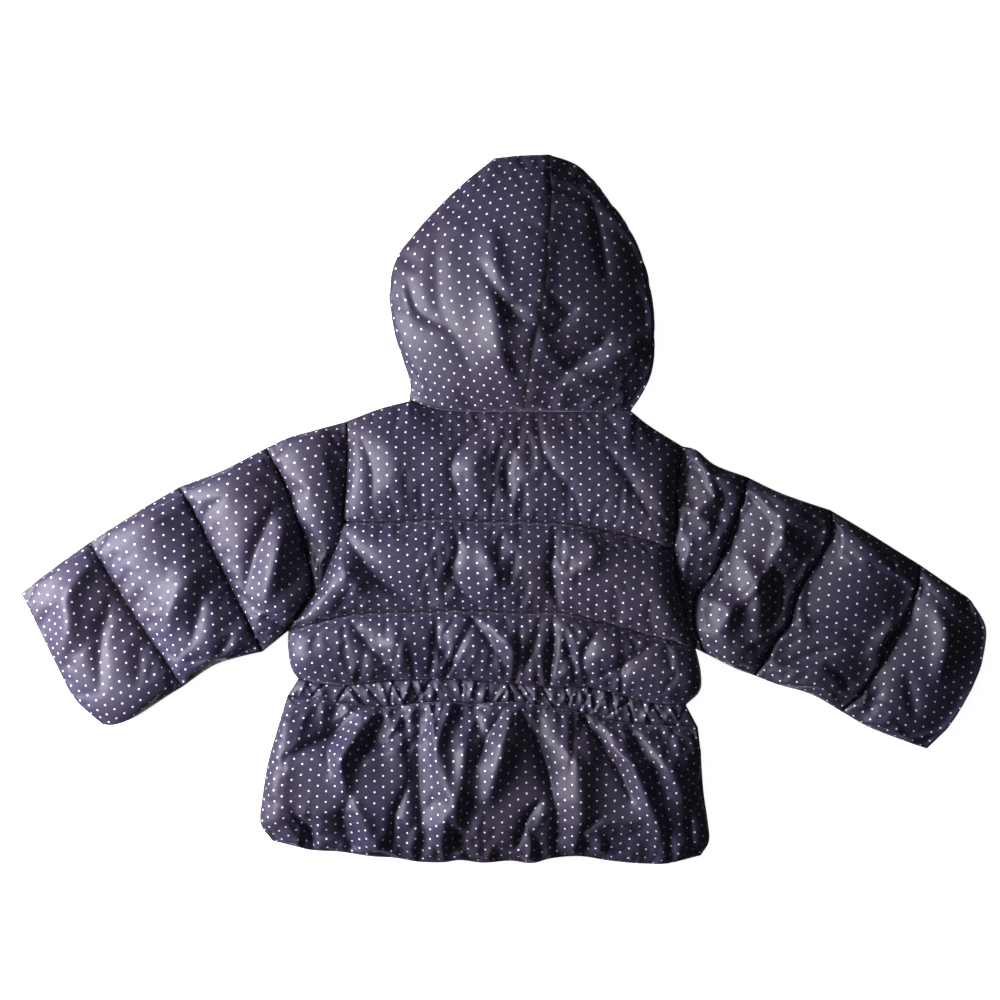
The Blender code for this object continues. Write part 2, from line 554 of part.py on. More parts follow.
def back_skirt():
    across = waist_columns()
    down = arched(13)
    plan = coons(
        along(dense_line(CASING_LOWER), across), along(dense_line(HEM), across),
        along(dense_line(SKIRT_SIDE_LEFT), down), along(dense_line(SKIRT_SIDE_RIGHT), down), across, down,
    )
    plan = gap_round(plan)
    top, hem = distance_to(plan, plan[0]), distance_to(plan, plan[-1])
    rise = rounding(top, SKIRT_TOP_ROUNDING) * rounding(hem, HEM_ROUNDING)
    edge = rounding(side_distance(plan), SIDE_ROUNDING)
    wave = gather_wave(across, 0.4)[None, :] * GATHER_DEPTH * np.exp(-top / 9)
    hem_wave = gather_wave(across, 2.1)[None, :] * GATHER_DEPTH * np.exp(-hem / 6)
    free = np.clip(np.minimum(top / 5, hem / 6), 0.15, 1)
    body = SKIRT_PUFF * rise + wave + hem_wave + folds_on(plan, SKIRT_FOLDS, free)
    height = SEAM_WALL + edge * np.maximum(body, 0)
    floor = PARTING + LAYER_GAP / 2
    padded_panel("back_skirt", with_height(plan, floor + height), floor)


def zip_point(y, offset):
    """A point beside the zip line at a height y up the coat."""
    top, foot = np.array(ZIP_TOP), np.array(ZIP_FOOT)
    run = (top - foot) / np.linalg.norm(top - foot)
    point = foot + (top - foot) * (y - foot[1]) / (top[1] - foot[1])
    return point + offset * np.array([run[1], -run[0]])


def front_line(line, side, at_zip):
    """The part of a line on one side of the zip, from the side seam to the edge at the zip."""
    dense = dense_line(line)
    if side > 0:
        dense = dense[::-1]
    kept = dense[(dense[:, 0] - at_zip[0]) * side > ZIP_CLEAR]
    return np.vstack([kept, at_zip])


def front_panel(name, upper, lower, edges, steps, rest):
    """A padded front panel that rests on the surface below it.

    upper and lower are its lines from the side seam to the zip, edges its lines down the side, steps the
    shares of each edge's length at which its rows start, and rest the level of its underside.
    """
    across = spread(FRONT_COLUMNS, 0.62)
    side = np.vstack([along(edge, crowded)[:-1] for edge, crowded in zip(edges, steps)] + [edges[-1][-1:]])
    down = length_shares(side)
    centre = along(np.array([upper[-1], lower[-1]]), down)
    plan = gap_round(coons(along(upper, across), along(lower, across), side, centre, across, down))
    seams = [distance_to(plan, line) for line in (plan[0], plan[-1], plan[:, 0])]
    floor = PARTING - LAYER_GAP / 2
    seam_level = floor - SEAM_WALL
    fall = rest + (seam_level - rest) * (1 - rounding(np.minimum.reduce(seams), REST_ROUNDING))
    at_zip = rounding(distance_to(plan, plan[:, -1]), ZIP_EDGE_ROUNDING)
    level = np.maximum(fall, rest + (ZIP_EDGE_LEVEL - rest) * (1 - at_zip))
    padded_panel(name, with_height(plan, np.minimum(level, seam_level)), floor)


def front_side(name, half):
    """The three front panels on one side of the zip."""
    side = half["side"]
    top_at, upper_at, lower_at, foot_at = (
        zip_point(y, side * ZIP_EDGE) for y in (ZIP_TOP[1], half["casing_at_zip"], CASING_LOWER_AT_ZIP, ZIP_FOOT[1])
    )
    neck = dense_line(half["neck_front"])
    neck = neck[(neck[:, 0] - top_at[0]) * side > ZIP_CLEAR]
    shoulder = half["shoulder"] if side < 0 else half["shoulder"][::-1]
    top = np.vstack([dense_line(shoulder)[:-1], neck, top_at])
    upper = front_line(CASING_UPPER, side, upper_at)
    lower = front_line(CASING_LOWER, side, lower_at)
    hem = front_line(HEM, side, foot_at)
    bodice_edges = [dense_line(line) for line in (*half["armhole"], half["side_seam"])]
    bodice_steps = (spread(6, 0.3), spread(6, 0.3), spread(4, 0.3))
    front_panel(f"front_bodice_{name}", top, upper, bodice_edges, bodice_steps, 0.0)
    casing_edges = [np.array(half["casing_side"], float)]
    front_panel(f"front_waist_{name}", upper, lower, casing_edges, (spread(5, 0.5),), CASING_REST)
    skirt_edges = [dense_line(half["skirt_side"])]
    front_panel(f"front_skirt_{name}", lower, hem, skirt_edges, (spread(13, 0.62),), 0.0)


def sleeve(name, lines, tops, unders, armhole, folds):
    """A padded tube, flattened: quilted above, resting below, with the armhole and the cuff open."""
    columns, steps = 13, 6
    across = spread(columns, 0.6)
    rows = [along(dense_line(armhole[0] + armhole[1][1:]), across)]
    rows += [along(dense_line(line), across) for line in lines]
    plan, arch, base, width = quilted_plan(rows, tops, unders, across, steps)
    outer_plan = gap_round(plan, ARMHOLE_GAP)
    edge = rounding(side_distance(outer_plan), SIDE_ROUNDING)
    puff = np.interp(base, (0, 0.5, 1.5, 2.5, 3.5, 4), SLEEVE_PUFFS)
    raised = np.interp(base, (0, 1, 2, 3, 4), (0, 2.6, 3.0, 3.0, CUFF_WALL - SEAM_WALL))
    body = raised[:, None] + (puff * arch)[:, None] * np.minimum(1, width / 48)
    soft = np.clip(arch, 0, 1)[:, None] ** 0.6
    body = np.maximum(body + folds_on(outer_plan, folds, soft), 0.8 * raised[:, None])
    half = LAYER_GAP
    upper = PARTING + half + SEAM_WALL + edge * body
    end = np.minimum(distance_to(outer_plan, outer_plan[0]), distance_to(outer_plan, outer_plan[-1]))
    sunk = edge * rounding(end, REST_ROUNDING)
    lower = (PARTING - half - SEAM_WALL) * (1 - sunk)
    outer = np.concatenate(
        [with_height(outer_plan, upper), with_height(outer_plan, lower)[:, ::-1]], axis=1
    )
    few = np.array([0, 3, 6, 9, 12, 15, 18, 21, 24])
    loop = moved_in(border_of(outer_plan), SLEEVE_WALL)
    inner_plan = outer_plan.copy()
    set_border(inner_plan, loop)
    inner_plan[0] = outer_plan[0]
    inner_plan[-1] = outer_plan[-1]
    for row in (0, -1):
        inset = SLEEVE_WALL / np.linalg.norm(outer_plan[row, -1] - outer_plan[row, 0])
        inner_plan[row] = along(outer_plan[row], inset + (1 - 2 * inset) * across)
    inner_plan = inner_plan[few]
    slit = np.full(inner_plan.shape[:-1], half)
    slit[-1] = MOUTH_HALF * np.sin(np.pi * across) ** 0.5 + half
    inner = np.concatenate(
        [with_height(inner_plan, PARTING + slit), with_height(inner_plan, PARTING - slit)[:, ::-1]], axis=1
    )
    outer, inner = (np.concatenate([part, part[:, :1]], axis=1) for part in (outer, inner))
    ends = [np.stack([outer[row], inner[row]]) for row in (0, -1)]
    closed_sheets(name, [outer, inner, *ends])


def hood_levels(plan):
    """How far the hood has opened at each point, from 0 at the neck seam to 1."""
    return ease((plan[..., 1] - HOOD_OPEN_FROM) / HOOD_OPEN_OVER)


def hood_side(name, side, neck_front, outline, top, face, folds):
    """One hood panel: a padded wall over the head, turned under to the edge round the face."""
    columns, steps, turn = 11, 16, (0, 30, 60, 90)
    neck = dense_line(NECK_BACK)
    centre = np.array(CROWN_SEAM[0])
    neck = neck[neck[:, 0] < centre[0]] if side < 0 else neck[neck[:, 0] > centre[0]]
    neck = np.vstack([centre, neck[::-1] if side < 0 else neck])
    round_off = np.sin(np.linspace(0, np.pi / 2, columns + 1))
    up = spread(steps, 0.55)
    shift = np.array([side * SEAM_GAP / 2, 0.0])
    lift = np.array([0.0, SEAM_GAP / 2])

    def patch(inset):
        edge = along(dense_line(outline), up)
        crest = along(dense_line(top)[::-1], round_off)
        corner = edge[-1].copy()
        wall = wall_at(edge)[:, None] * inset
        inward = np.array(HOOD_MIDDLE) - edge
        inward /= np.linalg.norm(inward, axis=1, keepdims=True)
        edge = edge + inward * wall
        drop = np.array([0.0, -HOOD_WALL]) * inset
        crest = crest + drop + (edge[-1] - corner - drop) * round_off[:, None]
        low = along(neck, round_off)
        low = low + (edge[0] - low[-1]) * round_off[:, None]
        seam = along(dense_line(CROWN_SEAM), up)
        seam = seam + drop * up[:, None] ** 4
        grid = coons(low, crest, seam, edge, round_off, up)
        grid += shift * (1 - round_off[None, :, None])
        return grid + lift * (1 - up[:, None, None]) ** 3 * (1 + inset)

    def dome():
        """Share of the full rise over the patch."""
        across = np.sqrt(np.clip(1 - round_off**2, 0, 1)) * 0.72 + (1 - round_off) * 0.28
        crown = np.clip(1 - up**3.4, 0, 1) ** 0.5
        return crown[:, None] * across[None, :]

    outer_plan, inner_plan = patch(0.0), patch(1.0)
    rise = HOOD_RISE * rounding(outer_plan[..., 1] - outer_plan[0, :, 1], HOOD_RISE_OVER)
    share = dome()
    free = np.clip(hood_levels(outer_plan) * 1.6, 0.1, 1) * np.clip(share * 2.2, 0, 1)
    thin = LAYER_GAP / 2 + SEAM_WALL
    outer = with_height(
        outer_plan, edge_level(outer_plan) + (thin + rise) * share + folds_on(outer_plan, folds, free)
    )
    wall = np.minimum(wall_at(outer_plan), SEAM_WALL + 0.55 * rise)
    inner = with_height(inner_plan, edge_level(inner_plan) + (thin + rise - wall) * share)

    def strip(grid, inset):
        """The part turned under, from the outline and the top edge to the edge round the face."""
        fold_line = np.vstack([grid[:, -1], grid[-1, -2::-1]])
        share_along = length_shares(outer_line[:, :2])
        face_line = along(dense_line(face), share_along**0.92)
        face_line = face_line + shift * share_along[:, None] ** 6
        face_line[0] += lift
        width = np.linalg.norm(face_line - outer_line[:, :2], axis=1)
        bottom = rest_level(outer_line)
        drop = edge_level(outer_line) - bottom
        radius = np.minimum(np.minimum(drop, HOOD_TURN), 0.5 * width)
        angles = np.radians(turn)
        offsets = [radius * (1 - np.cos(angle)) for angle in angles]
        offsets += [radius + (width - radius) * part for part in (0.45, 1.0)]
        downs = [np.sin(angle) for angle in angles] + [1.0, 1.0]
        neck_line = dense_line(neck_front)
        rows = []
        for offset, down in zip(offsets, downs):
            part = (offset / width)[:, None]
            straight = (1 - part) * fold_line[:, :2] + part * face_line
            first = along(neck_line, part[0])[0] + lift
            first_straight = (1 - part[0]) * outer_line[0, :2] + part[0] * face_line[0]
            bend = (first - first_straight)[None] * (1 - share_along[:, None]) ** 3
            flat = straight + bend * np.clip(part * 6, 0, 1)
            under = bottom if not inset else np.minimum(bottom + wall_at(flat), edge_level(flat) - LAYER_GAP / 2)
            z = fold_line[:, 2] - (fold_line[:, 2] - under) * down
            rows.append(with_height(flat, z))
        return np.array(rows)

    outer_line = np.vstack([outer[:, -1], outer[-1, -2::-1]])
    outer_strip, inner_strip = strip(outer, False), strip(inner, True)

    def rim(grid, part):
        """Open edge of one side of the wall: crown seam, underside of the top, face, front and back of the neck."""
        return np.vstack([grid[:, 0], part[1:, -1], part[-1, -2::-1], part[-2::-1, 0], grid[0, -2::-1]])

    edge = np.stack([rim(outer, outer_strip), rim(inner, inner_strip)])
    closed_sheets(name, [outer, inner, outer_strip, inner_strip, edge])


def edge_level(plan):
    """Level of the hood's outline, where the wall turns under."""
    return PARTING + (HOOD_EDGE_LEVEL - PARTING) * hood_levels(plan)


def rest_level(plan):
    """Level of the underside of the hood: at the neck seam just under the parting plane, then down on the surface."""
    return (PARTING - LAYER_GAP / 2 - SEAM_WALL) * (1 - hood_levels(plan))


def wall_at(plan):
    """Thickness of the hood's wall, thin at the neck seam."""
    return SEAM_WALL + (HOOD_WALL - SEAM_WALL) * hood_levels(plan)


def strip_along_zip(name, material, ends, across, levels):
    """A straight strip along the zip line."""
    corners = [(across[0], levels[0]), (across[1], levels[0]), (across[1], levels[1]), (across[0], levels[1])]
    rings = np.array([[[*zip_point(y, x), z] for x, z in [*corners, corners[0]]] for y in ends])
    caps = [np.array([[ring[0], ring[1]], [ring[3], ring[2]]]) for ring in rings]
    closed_sheets(name, [rings, *caps], material)


def zip_strips():
    """Tapes and chain of the closed zip."""
    foot = ZIP_FOOT[1] + 4.0
    for name, side in (("left", -1), ("right", 1)):
        across = tuple(sorted(side * x for x in TAPE_ACROSS))
        strip_along_zip(f"zip_tape_{name}", "zip_tape_fabric", (foot, ZIP_TOP[1] - 2), across, TAPE_LEVELS)
    strip_along_zip("zip_chain", "zip_teeth_plastic", (foot + 1, CHAIN_TOP), CHAIN_ACROSS, CHAIN_LEVELS)


def box(size, centre):
    """A plain block as a mesh under construction."""
    bm = bmesh.new()
    bmesh.ops.create_cube(bm, size=1.0)
    for vert in bm.verts:
        vert.co = [(part * whole + middle) * MM for part, whole, middle in zip(vert.co, size, centre)]
    return bm


def beside_zip(made, y, z):
    """Places a small part of the zip, made round its own origin, on the zip line."""
    made.location = (*(zip_point(y, 0.0) * MM), z * MM)
    made.rotation_euler.z = -np.arctan2(ZIP_TOP[0] - ZIP_FOOT[0], ZIP_TOP[1] - ZIP_FOOT[1])


def zip_slider():
    """Two plates round the chain, joined by a post past its end, and the arch that holds the pull tab."""
    slider = new_object("zip_slider", "zip_metal", box((8.0, 12.0, 1.3), (0, 0, EYE_HALF + 0.65)))
    blocks = {
        "inner_plate": ((7.0, 12.0, 1.3), (0, 0, EYE_HALF + 6.4)),
        "post": ((5.0, 2.4, 6.0), (0, 4.6, EYE_HALF + 3.5)),
        "arch": ((1.8, 5.6, 4.2), (0, 0, 0.1 - EYE_HALF / 2 - 0.25)),
    }
    for name, (size, centre) in blocks.items():
        add_boolean(slider, name, "UNION", box(size, centre))
    add_boolean(slider, "arch_window", "DIFFERENCE", box((4.0, 3.2, 2.4), (0, 0, 0)))
    beside_zip(slider, SLIDER_AT, EYE_LEVEL)


def add_boolean(made, name, operation, bm):
    """Joins a block to an object, or cuts it away."""
    mesh = bpy.data.meshes.new(name)
    bm.to_mesh(mesh)
    bm.free()
    block = bpy.data.objects.new(name, mesh)
    block.hide_render = True
    block.hide_viewport = True
    cutters.objects.link(block)
    modifier = made.modifiers.new(name, "BOOLEAN")
    modifier.operation = operation
    modifier.object = block
    modifier.solver = "EXACT"
    block.location = made.location
    block.parent = made


def zip_pull_tab():
    """A flat tab with a window at its upper end; its bar lies in the slider's arch."""
    across = (-3.2, -1.9, 1.9, 3.2)
    down = (0.7, -0.7, -5.0, -22.0, -25.0)
    points = np.array([[(x, y, -TAB_HALF) for x in across] for y in down])
    points[-1, 0, 0], points[-1, -1, 0] = -2.0, 2.0
    bm = bmesh.new()
    add_sheet(bm, points)
    window = min(bm.faces, key=lambda face: (face.calc_center_median() * 1000 - WINDOW_CENTRE).length)
    bmesh.ops.delete(bm, geom=[window], context="FACES_ONLY")
    raised = bmesh.ops.extrude_face_region(bm, geom=list(bm.faces))["geom"]
    for vert in raised:
        if isinstance(vert, bmesh.types.BMVert):
            vert.co.z = TAB_HALF * MM
    tab = new_object("zip_pull_tab", "zip_metal", bm)
    softened = tab.modifiers.new("soft_edges", "BEVEL")
    softened.width = 0.25 * MM
    softened.segments = 1
    softened.limit_method = "ANGLE"
    beside_zip(tab, SLIDER_AT, EYE_LEVEL)


for leftover in list(bpy.data.objects):
    bpy.data.objects.remove(leftover, do_unlink=True)
coat = bpy.data.collections.new("puffer_coat")
cutters = bpy.data.collections.new("cutters")
bpy.context.scene.collection.children.link(coat)
bpy.context.scene.collection.children.link(cutters)
materials = {}
for material_name, (colour, roughness, metallic) in MATERIALS.items():
    material = bpy.data.materials.new(material_name)
    material.use_nodes = True
    shader = material.node_tree.nodes["Principled BSDF"]
    shader.inputs["Base Color"].default_value = (*colour, 1.0)
    shader.inputs["Roughness"].default_value = roughness
    shader.inputs["Metallic"].default_value = metallic
    materials[material_name] = material

back_bodice()
back_waist_casing()
back_skirt()
for half_name, half_coat in HALVES.items():
    front_side(half_name, half_coat)
    sleeve(
        f"sleeve_{half_name}", half_coat["sleeve_lines"], half_coat["sleeve_top"], half_coat["sleeve_under"],
        half_coat["armhole"], half_coat["sleeve_folds"],
    )
    hood_side(
        f"hood_{half_name}", half_coat["side"], half_coat["neck_front"], half_coat["hood_outline"],
        half_coat["hood_top"], half_coat["face"], half_coat["hood_folds"],
    )
zip_strips()
zip_slider()
zip_pull_tab()
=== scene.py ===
# Child's hooded puffer coat, closed and laid flat on its front with the hood up.
# Sizes are in mm until a mesh is made. X runs right seen from above, Y to the crown of the hood, Z up.
import math

import bmesh
import bpy
import numpy as np
from mathutils import Matrix, Vector
from mathutils.kdtree import KDTree


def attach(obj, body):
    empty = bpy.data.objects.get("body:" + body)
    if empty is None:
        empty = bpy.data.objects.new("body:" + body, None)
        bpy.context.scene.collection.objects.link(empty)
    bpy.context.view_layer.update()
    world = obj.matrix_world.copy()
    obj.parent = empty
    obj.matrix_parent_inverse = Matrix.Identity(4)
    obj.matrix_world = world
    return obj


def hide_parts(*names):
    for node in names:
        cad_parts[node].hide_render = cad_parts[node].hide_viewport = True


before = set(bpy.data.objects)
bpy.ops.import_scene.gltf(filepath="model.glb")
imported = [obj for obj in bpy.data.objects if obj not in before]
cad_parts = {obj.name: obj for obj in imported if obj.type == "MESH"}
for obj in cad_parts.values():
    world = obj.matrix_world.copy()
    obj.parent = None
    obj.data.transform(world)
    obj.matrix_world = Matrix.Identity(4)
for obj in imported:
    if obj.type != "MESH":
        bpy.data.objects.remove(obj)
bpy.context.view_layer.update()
mm = 0.001
print("frame loaded:", len(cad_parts), "solids")

# levels shared by the pieces, as in the CAD
coat = {
    "parting": 16.0,  # the back layer lies on the front layer here
    "layerGap": 0.3,
    "seamWall": 2.4,
    "seamGap": -0.06,  # sewn pieces lie edge to edge, a hair over each other
    "armholeGap": -0.03,
}
backFloor = coat["parting"] + coat["layerGap"] / 2
frontTop = coat["parting"] - coat["layerGap"] / 2

# seam lines seen from above, in mm, from first end to last
neckBack = ((-75.6, 86.0), (-57.2, 80.4), (-34.8, 77.6), (15.6, 77.6), (79.6, 77.4), (102.0, 78.0))
neckFrontLeft = ((-75.6, 86.0), (-62.8, 70.8), (-34.8, 60.4), (12.4, 55.6))
neckFrontRight = ((102.0, 78.0), (89.2, 65.2), (61.2, 58.0), (20.4, 55.6))
shoulderLeft = ((-125.2, 70.0), (-98.8, 80.0), (-75.6, 86.0))
shoulderRight = ((102.0, 78.0), (117.2, 66.0), (142.8, 50.0))
quiltUpper = (
    (-128.4, -10.8), (-89.2, -10.8), (-49.2, -8.4), (-23.6, -10.0), (20.4, -10.8),
    (50.0, -12.4), (80.4, -18.0), (110.0, -24.4), (136.4, -33.2),
)
quiltLower = (
    (-172.4, -98.0), (-138.8, -88.4), (-109.2, -83.6), (-53.2, -82.0), (-29.2, -81.2), (16.4, -83.6),
    (44.4, -83.6), (70.0, -89.2), (99.6, -97.2), (130.0, -105.2), (154.0, -112.4),
)
armholeLeftUpper = ((-125.2, 70.0), (-125.2, 34.8), (-128.4, -10.8))
armholeLeftLower = ((-128.4, -10.8), (-137.2, -38.0), (-150.8, -66.0), (-172.4, -98.0))
armholeRightUpper = ((142.8, 50.0), (138.4, 18.8), (136.4, -33.2))
armholeRightLower = ((136.4, -33.2), (138.0, -56.0), (144.4, -84.0), (154.0, -112.4))
sideLeft = ((-172.4, -98.0), (-172.4, -113.2), (-170.0, -127.6), (-164.4, -136.4))
sideRight = ((154.0, -112.4), (158.0, -130.8), (157.2, -146.0), (146.0, -157.2))
casingUpper = (
    (-164.4, -136.4), (-145.2, -140.0), (-123.6, -140.8), (-90.0, -137.2), (-58.8, -136.4),
    (-34.8, -136.4), (-3.6, -138.8), (37.2, -142.8), (68.4, -142.8), (97.2, -150.0),
    (121.2, -155.6), (146.0, -157.2),
)
casingLower = (
    (-173.2, -150.4), (-154.8, -152.4), (-123.6, -156.4), (-97.2, -158.8), (-78.0, -156.8),
    (-49.2, -154.8), (-25.2, -156.4), (6.0, -155.2), (33.2, -158.4), (58.8, -162.8),
    (85.2, -169.6), (116.4, -173.2), (155.6, -175.2),
)
casingSideLeft = ((-164.4, -136.4), (-173.2, -150.4))
casingSideRight = ((146.0, -157.2), (155.6, -175.2))
skirtSideLeft = (
    (-173.2, -150.4), (-181.2, -177.2), (-188.4, -202.8),
    (-193.2, -232.4), (-194.4, -252.0), (-185.0, -266.0),
)
skirtSideRight = (
    (155.6, -175.2), (158.0, -196.4), (160.0, -225.2), (163.4, -249.2), (164.6, -266.0), (158.0, -277.6),
)
hem = (
    (-185.0, -266.0), (-154.8, -273.2), (-130.8, -274.8), (-106.8, -278.4), (-87.6, -279.6),
    (-68.4, -282.8), (-49.2, -283.4), (-34.8, -281.6), (-15.6, -283.6), (5.2, -282.0),
    (22.8, -284.0), (38.8, -280.0), (61.2, -278.4), (85.2, -282.0), (109.2, -284.2),
    (133.2, -283.6), (158.0, -277.6),
)
zipTop = (16.4, 55.6)
zipFoot = (-14.0, -281.0)
zipClear = 1.5  # nearest that a point of a panel's line comes to its corner at the zip
casingLowerAtZip = -155.6


def curveThrough(points):
    # the smooth line through the points, in many steps
    points = np.array(points, float)
    if len(points) < 3:
        return points
    padded = np.vstack([2 * points[0] - points[1], points, 2 * points[-1] - points[-2]])
    t = np.linspace(0, 1, 12, endpoint=False)[:, None]
    pieces = []
    for before, start, end, after in zip(padded, padded[1:], padded[2:], padded[3:]):
        slope, nextSlope = (end - before) / 2, (after - start) / 2
        pieces.append(
            (2 * t**3 - 3 * t**2 + 1) * start + (t**3 - 2 * t**2 + t) * slope
            + (3 * t**2 - 2 * t**3) * end + (t**3 - t**2) * nextSlope
        )
    return np.vstack([*pieces, points[-1:]])


def lengthShares(line):
    steps = np.linalg.norm(np.diff(line, axis=0), axis=1)
    total = np.concatenate([[0], np.cumsum(steps)])
    return total / total[-1]


def lineLength(line):
    return np.linalg.norm(np.diff(line, axis=0), axis=1).sum()


def alongLine(line, shares):
    at = lengthShares(line)
    return np.stack([np.interp(shares, at, line[:, axis]) for axis in range(line.shape[1])], axis=-1)


def crowdEnds(count, crowding):
    # shares from 0 to 1, closer together towards both ends
    even = np.linspace(0, 1, count + 1)
    return even - crowding * np.sin(2 * np.pi * even) / (2 * np.pi)


def softStep(value):
    value = np.clip(value, 0, 1)
    return value * value * (3 - 2 * value)


def fillPlan(first, last, left, right, across, down):
    # points of a panel between its first and last rows and its two sides
    u, w = np.asarray(across)[None, :, None], np.asarray(down)[:, None, None]
    w2 = w[:, 0]
    straightLeft = (1 - w2) * first[0] + w2 * last[0]
    straightRight = (1 - w2) * first[-1] + w2 * last[-1]
    bend = (1 - u) * (left - straightLeft)[:, None] + u * (right - straightRight)[:, None]
    return (1 - w) * first[None] + w * last[None] + bend


channelCrowding = 0.35  # how much closer the rows lie at a channel's seams


def quiltPlan(lines, lefts, rights, across, rowCounts):
    # plan rows channel after channel, each row's place in the channels, and the channel's width at each point
    plans, places, widths = [], [], []
    for index, (left, right) in enumerate(zip(lefts, rights)):
        down = crowdEnds(rowCounts[index], channelCrowding)
        first, last = lines[index], lines[index + 1]
        left, right = alongLine(curveThrough(left), down), alongLine(curveThrough(right), down)
        skip = 1 if index else 0
        plans.append(fillPlan(first, last, left, right, across, down)[skip:])
        places.append(index + down[skip:])
        widths.append(np.tile(np.linalg.norm(last - first, axis=1), (len(down) - skip, 1)))
    return np.vstack(plans), np.concatenate(places), np.vstack(widths)


def borderOf(grid):
    return np.vstack([grid[0, :-1], grid[:-1, -1], grid[-1, :0:-1], grid[:0:-1, 0]])


def movedIn(loop, distance):
    # a closed loop in plan with each side moved inward
    before = loop - np.roll(loop, 1, axis=0)
    after = np.roll(loop, -1, axis=0) - loop
    before /= np.linalg.norm(before, axis=1, keepdims=True)
    after /= np.linalg.norm(after, axis=1, keepdims=True)
    area = np.sum(loop[:, 0] * np.roll(loop[:, 1], -1) - np.roll(loop[:, 0], -1) * loop[:, 1])
    normal = np.stack([-(before + after)[:, 1], (before + after)[:, 0]], axis=1) * np.sign(area)
    normal /= np.linalg.norm(normal, axis=1, keepdims=True)
    own = np.stack([-before[:, 1], before[:, 0]], axis=1) * np.sign(area)
    cosine = np.clip(np.sum(normal * own, axis=1), 0.45, 1)
    return loop + normal * (distance / cosine)[:, None]


def setBorder(grid, loop):
    # puts back a loop of points that borderOf gave
    rows, columns = grid.shape[:2]
    top, right, bottom, left = np.split(loop, np.cumsum([columns - 1, rows - 1, columns - 1]))
    grid[0, :-1], grid[:-1, -1], grid[-1, :0:-1], grid[:0:-1, 0] = top, right, bottom, left


def seamGapRound(plan, extraFirst=0.0):
    # takes half a seam gap off all round, and the extra off the first row
    plan = plan.copy()
    loop = borderOf(plan)
    distance = np.full(len(loop), coat["seamGap"] / 2)
    distance[:plan.shape[1]] += extraFirst
    setBorder(plan, movedIn(loop, distance))
    return plan


def nearest(plan, line):
    # how far each plan point lies from a line, and how far along the line its nearest point is, both in mm
    line = np.asarray(line, float)
    best = np.full(plan.shape[:-1], np.inf)
    reached = np.zeros(plan.shape[:-1])
    done = 0.0
    for start, end in zip(line, line[1:]):
        run = end - start
        length = max(np.linalg.norm(run), 1e-9)
        part = np.clip(((plan - start) @ run) / length**2, 0, 1)
        away = np.linalg.norm(plan - start - part[..., None] * run, axis=-1)
        closer = away < best
        best = np.where(closer, away, best)
        reached = np.where(closer, done + part * length, reached)
        done += length
    return best, reached, done


def roundEdge(distance, radius):
    return np.sqrt(1 - (1 - np.clip(distance / radius, 0, 1)) ** 2)


def sideDistance(plan):
    return np.minimum(nearest(plan, plan[:, 0])[0], nearest(plan, plan[:, -1])[0])


foldForm = {
    "trough": {"crisp": 1.1, "breadth": 0.74}, "ridge": {"crisp": 1.8, "breadth": 1.12},
    "ends": 0.3,  # share of its length over which a fold fades at each end
}


def foldHeights(plan, folds):
    # broad ridges and narrow troughs; a row holds a height, below zero for a trough, a half width and a line
    total = np.zeros(plan.shape[:-1])
    for height, width, line in folds:
        away, at, length = nearest(plan, curveThrough(line))
        share = at / length
        taper = np.clip(np.minimum(share, 1 - share) / foldForm["ends"], 0, 1)
        form = foldForm["trough" if height < 0 else "ridge"]
        spread = width * form["breadth"] * (0.72 + 0.4 * taper)
        profile = np.exp(-((away / spread) ** 2 + 0.02) ** (form["crisp"] / 2))
        total += height * (0.45 + 0.55 * taper) * profile
    return total


def puckerHeights(plan, line, pucker, seed):
    # short uneven ridges that run off a stitched line
    draw = np.random.default_rng(seed)
    away, at, length = nearest(plan, line)
    total = np.zeros(plan.shape[:-1])
    place = draw.uniform(0, pucker["spacing"][0])
    while place < length:
        height = draw.uniform(*pucker["height"])
        reach = draw.uniform(*pucker["reach"])
        width = draw.uniform(*pucker["width"])
        slant = draw.uniform(-1, 1) * pucker["slant"]
        widened = width * (1 + 0.5 * away / reach)
        ridge = np.exp(-(((at - place - slant * away) / widened) ** 2))
        total += height * ridge * (1 - np.exp(-away / 1.6)) * np.exp(-((away / reach) ** 2))
        place += draw.uniform(*pucker["spacing"])
    return total


def ridgesBeside(plan, place, lines, kinds, seed):
    # the puckers on each side of every seam and quilting line, each set kept to its own channel
    for index, (line, kind) in enumerate(zip(lines, kinds)):
        for side in (-1, 1):
            near = ((place - index) * side > 0) & (np.abs(place - index) < 1)
            if near.any():
                yield puckerHeights(plan, line, kind, seed + 2 * index + side) * near[:, None]


def crinkleHeights(plan, crinkle, seed):
    # short slack creases scattered over a panel, each its own length, width and heading
    draw = np.random.default_rng(seed)
    low, high = plan.reshape(-1, 2).min(0), plan.reshape(-1, 2).max(0)
    total = np.zeros(plan.shape[:-1])
    for _ in range(int((high - low).prod() / 1e4 * crinkle["each100Square"])):
        middle = draw.uniform(low, high)
        heading = math.radians(crinkle["heading"] + draw.normal() * crinkle["turn"])
        run = np.array([math.cos(heading), math.sin(heading)])
        half = draw.uniform(*crinkle["length"]) / 2
        width = draw.uniform(*crinkle["width"])
        height = draw.uniform(*crinkle["height"]) * (1 if draw.random() < 0.5 else -1)
        off = plan - middle
        forward, aside = off @ run, off @ np.array([-run[1], run[0]])
        aside = aside - draw.uniform(-0.4, 0.4) * forward**2 / half
        total += height * np.exp(-((aside / width) ** 2)) * np.exp(-((forward / half) ** 4))
    return total


def stitchTrough(plan, line, trough):
    # the thread pulls the cloth down along its line
    return -trough["depth"] * np.exp(-((nearest(plan, line)[0] / trough["width"]) ** 2))


def freeShare(arch, edge):
    # how freely the cloth creases, from 0 where it is sewn down
    return arch[:, None] ** 0.45 * np.clip(edge * 1.2, 0, 1)


def withHeight(plan, height):
    return np.concatenate([plan, np.broadcast_to(height, plan.shape[:-1])[..., None]], axis=-1)


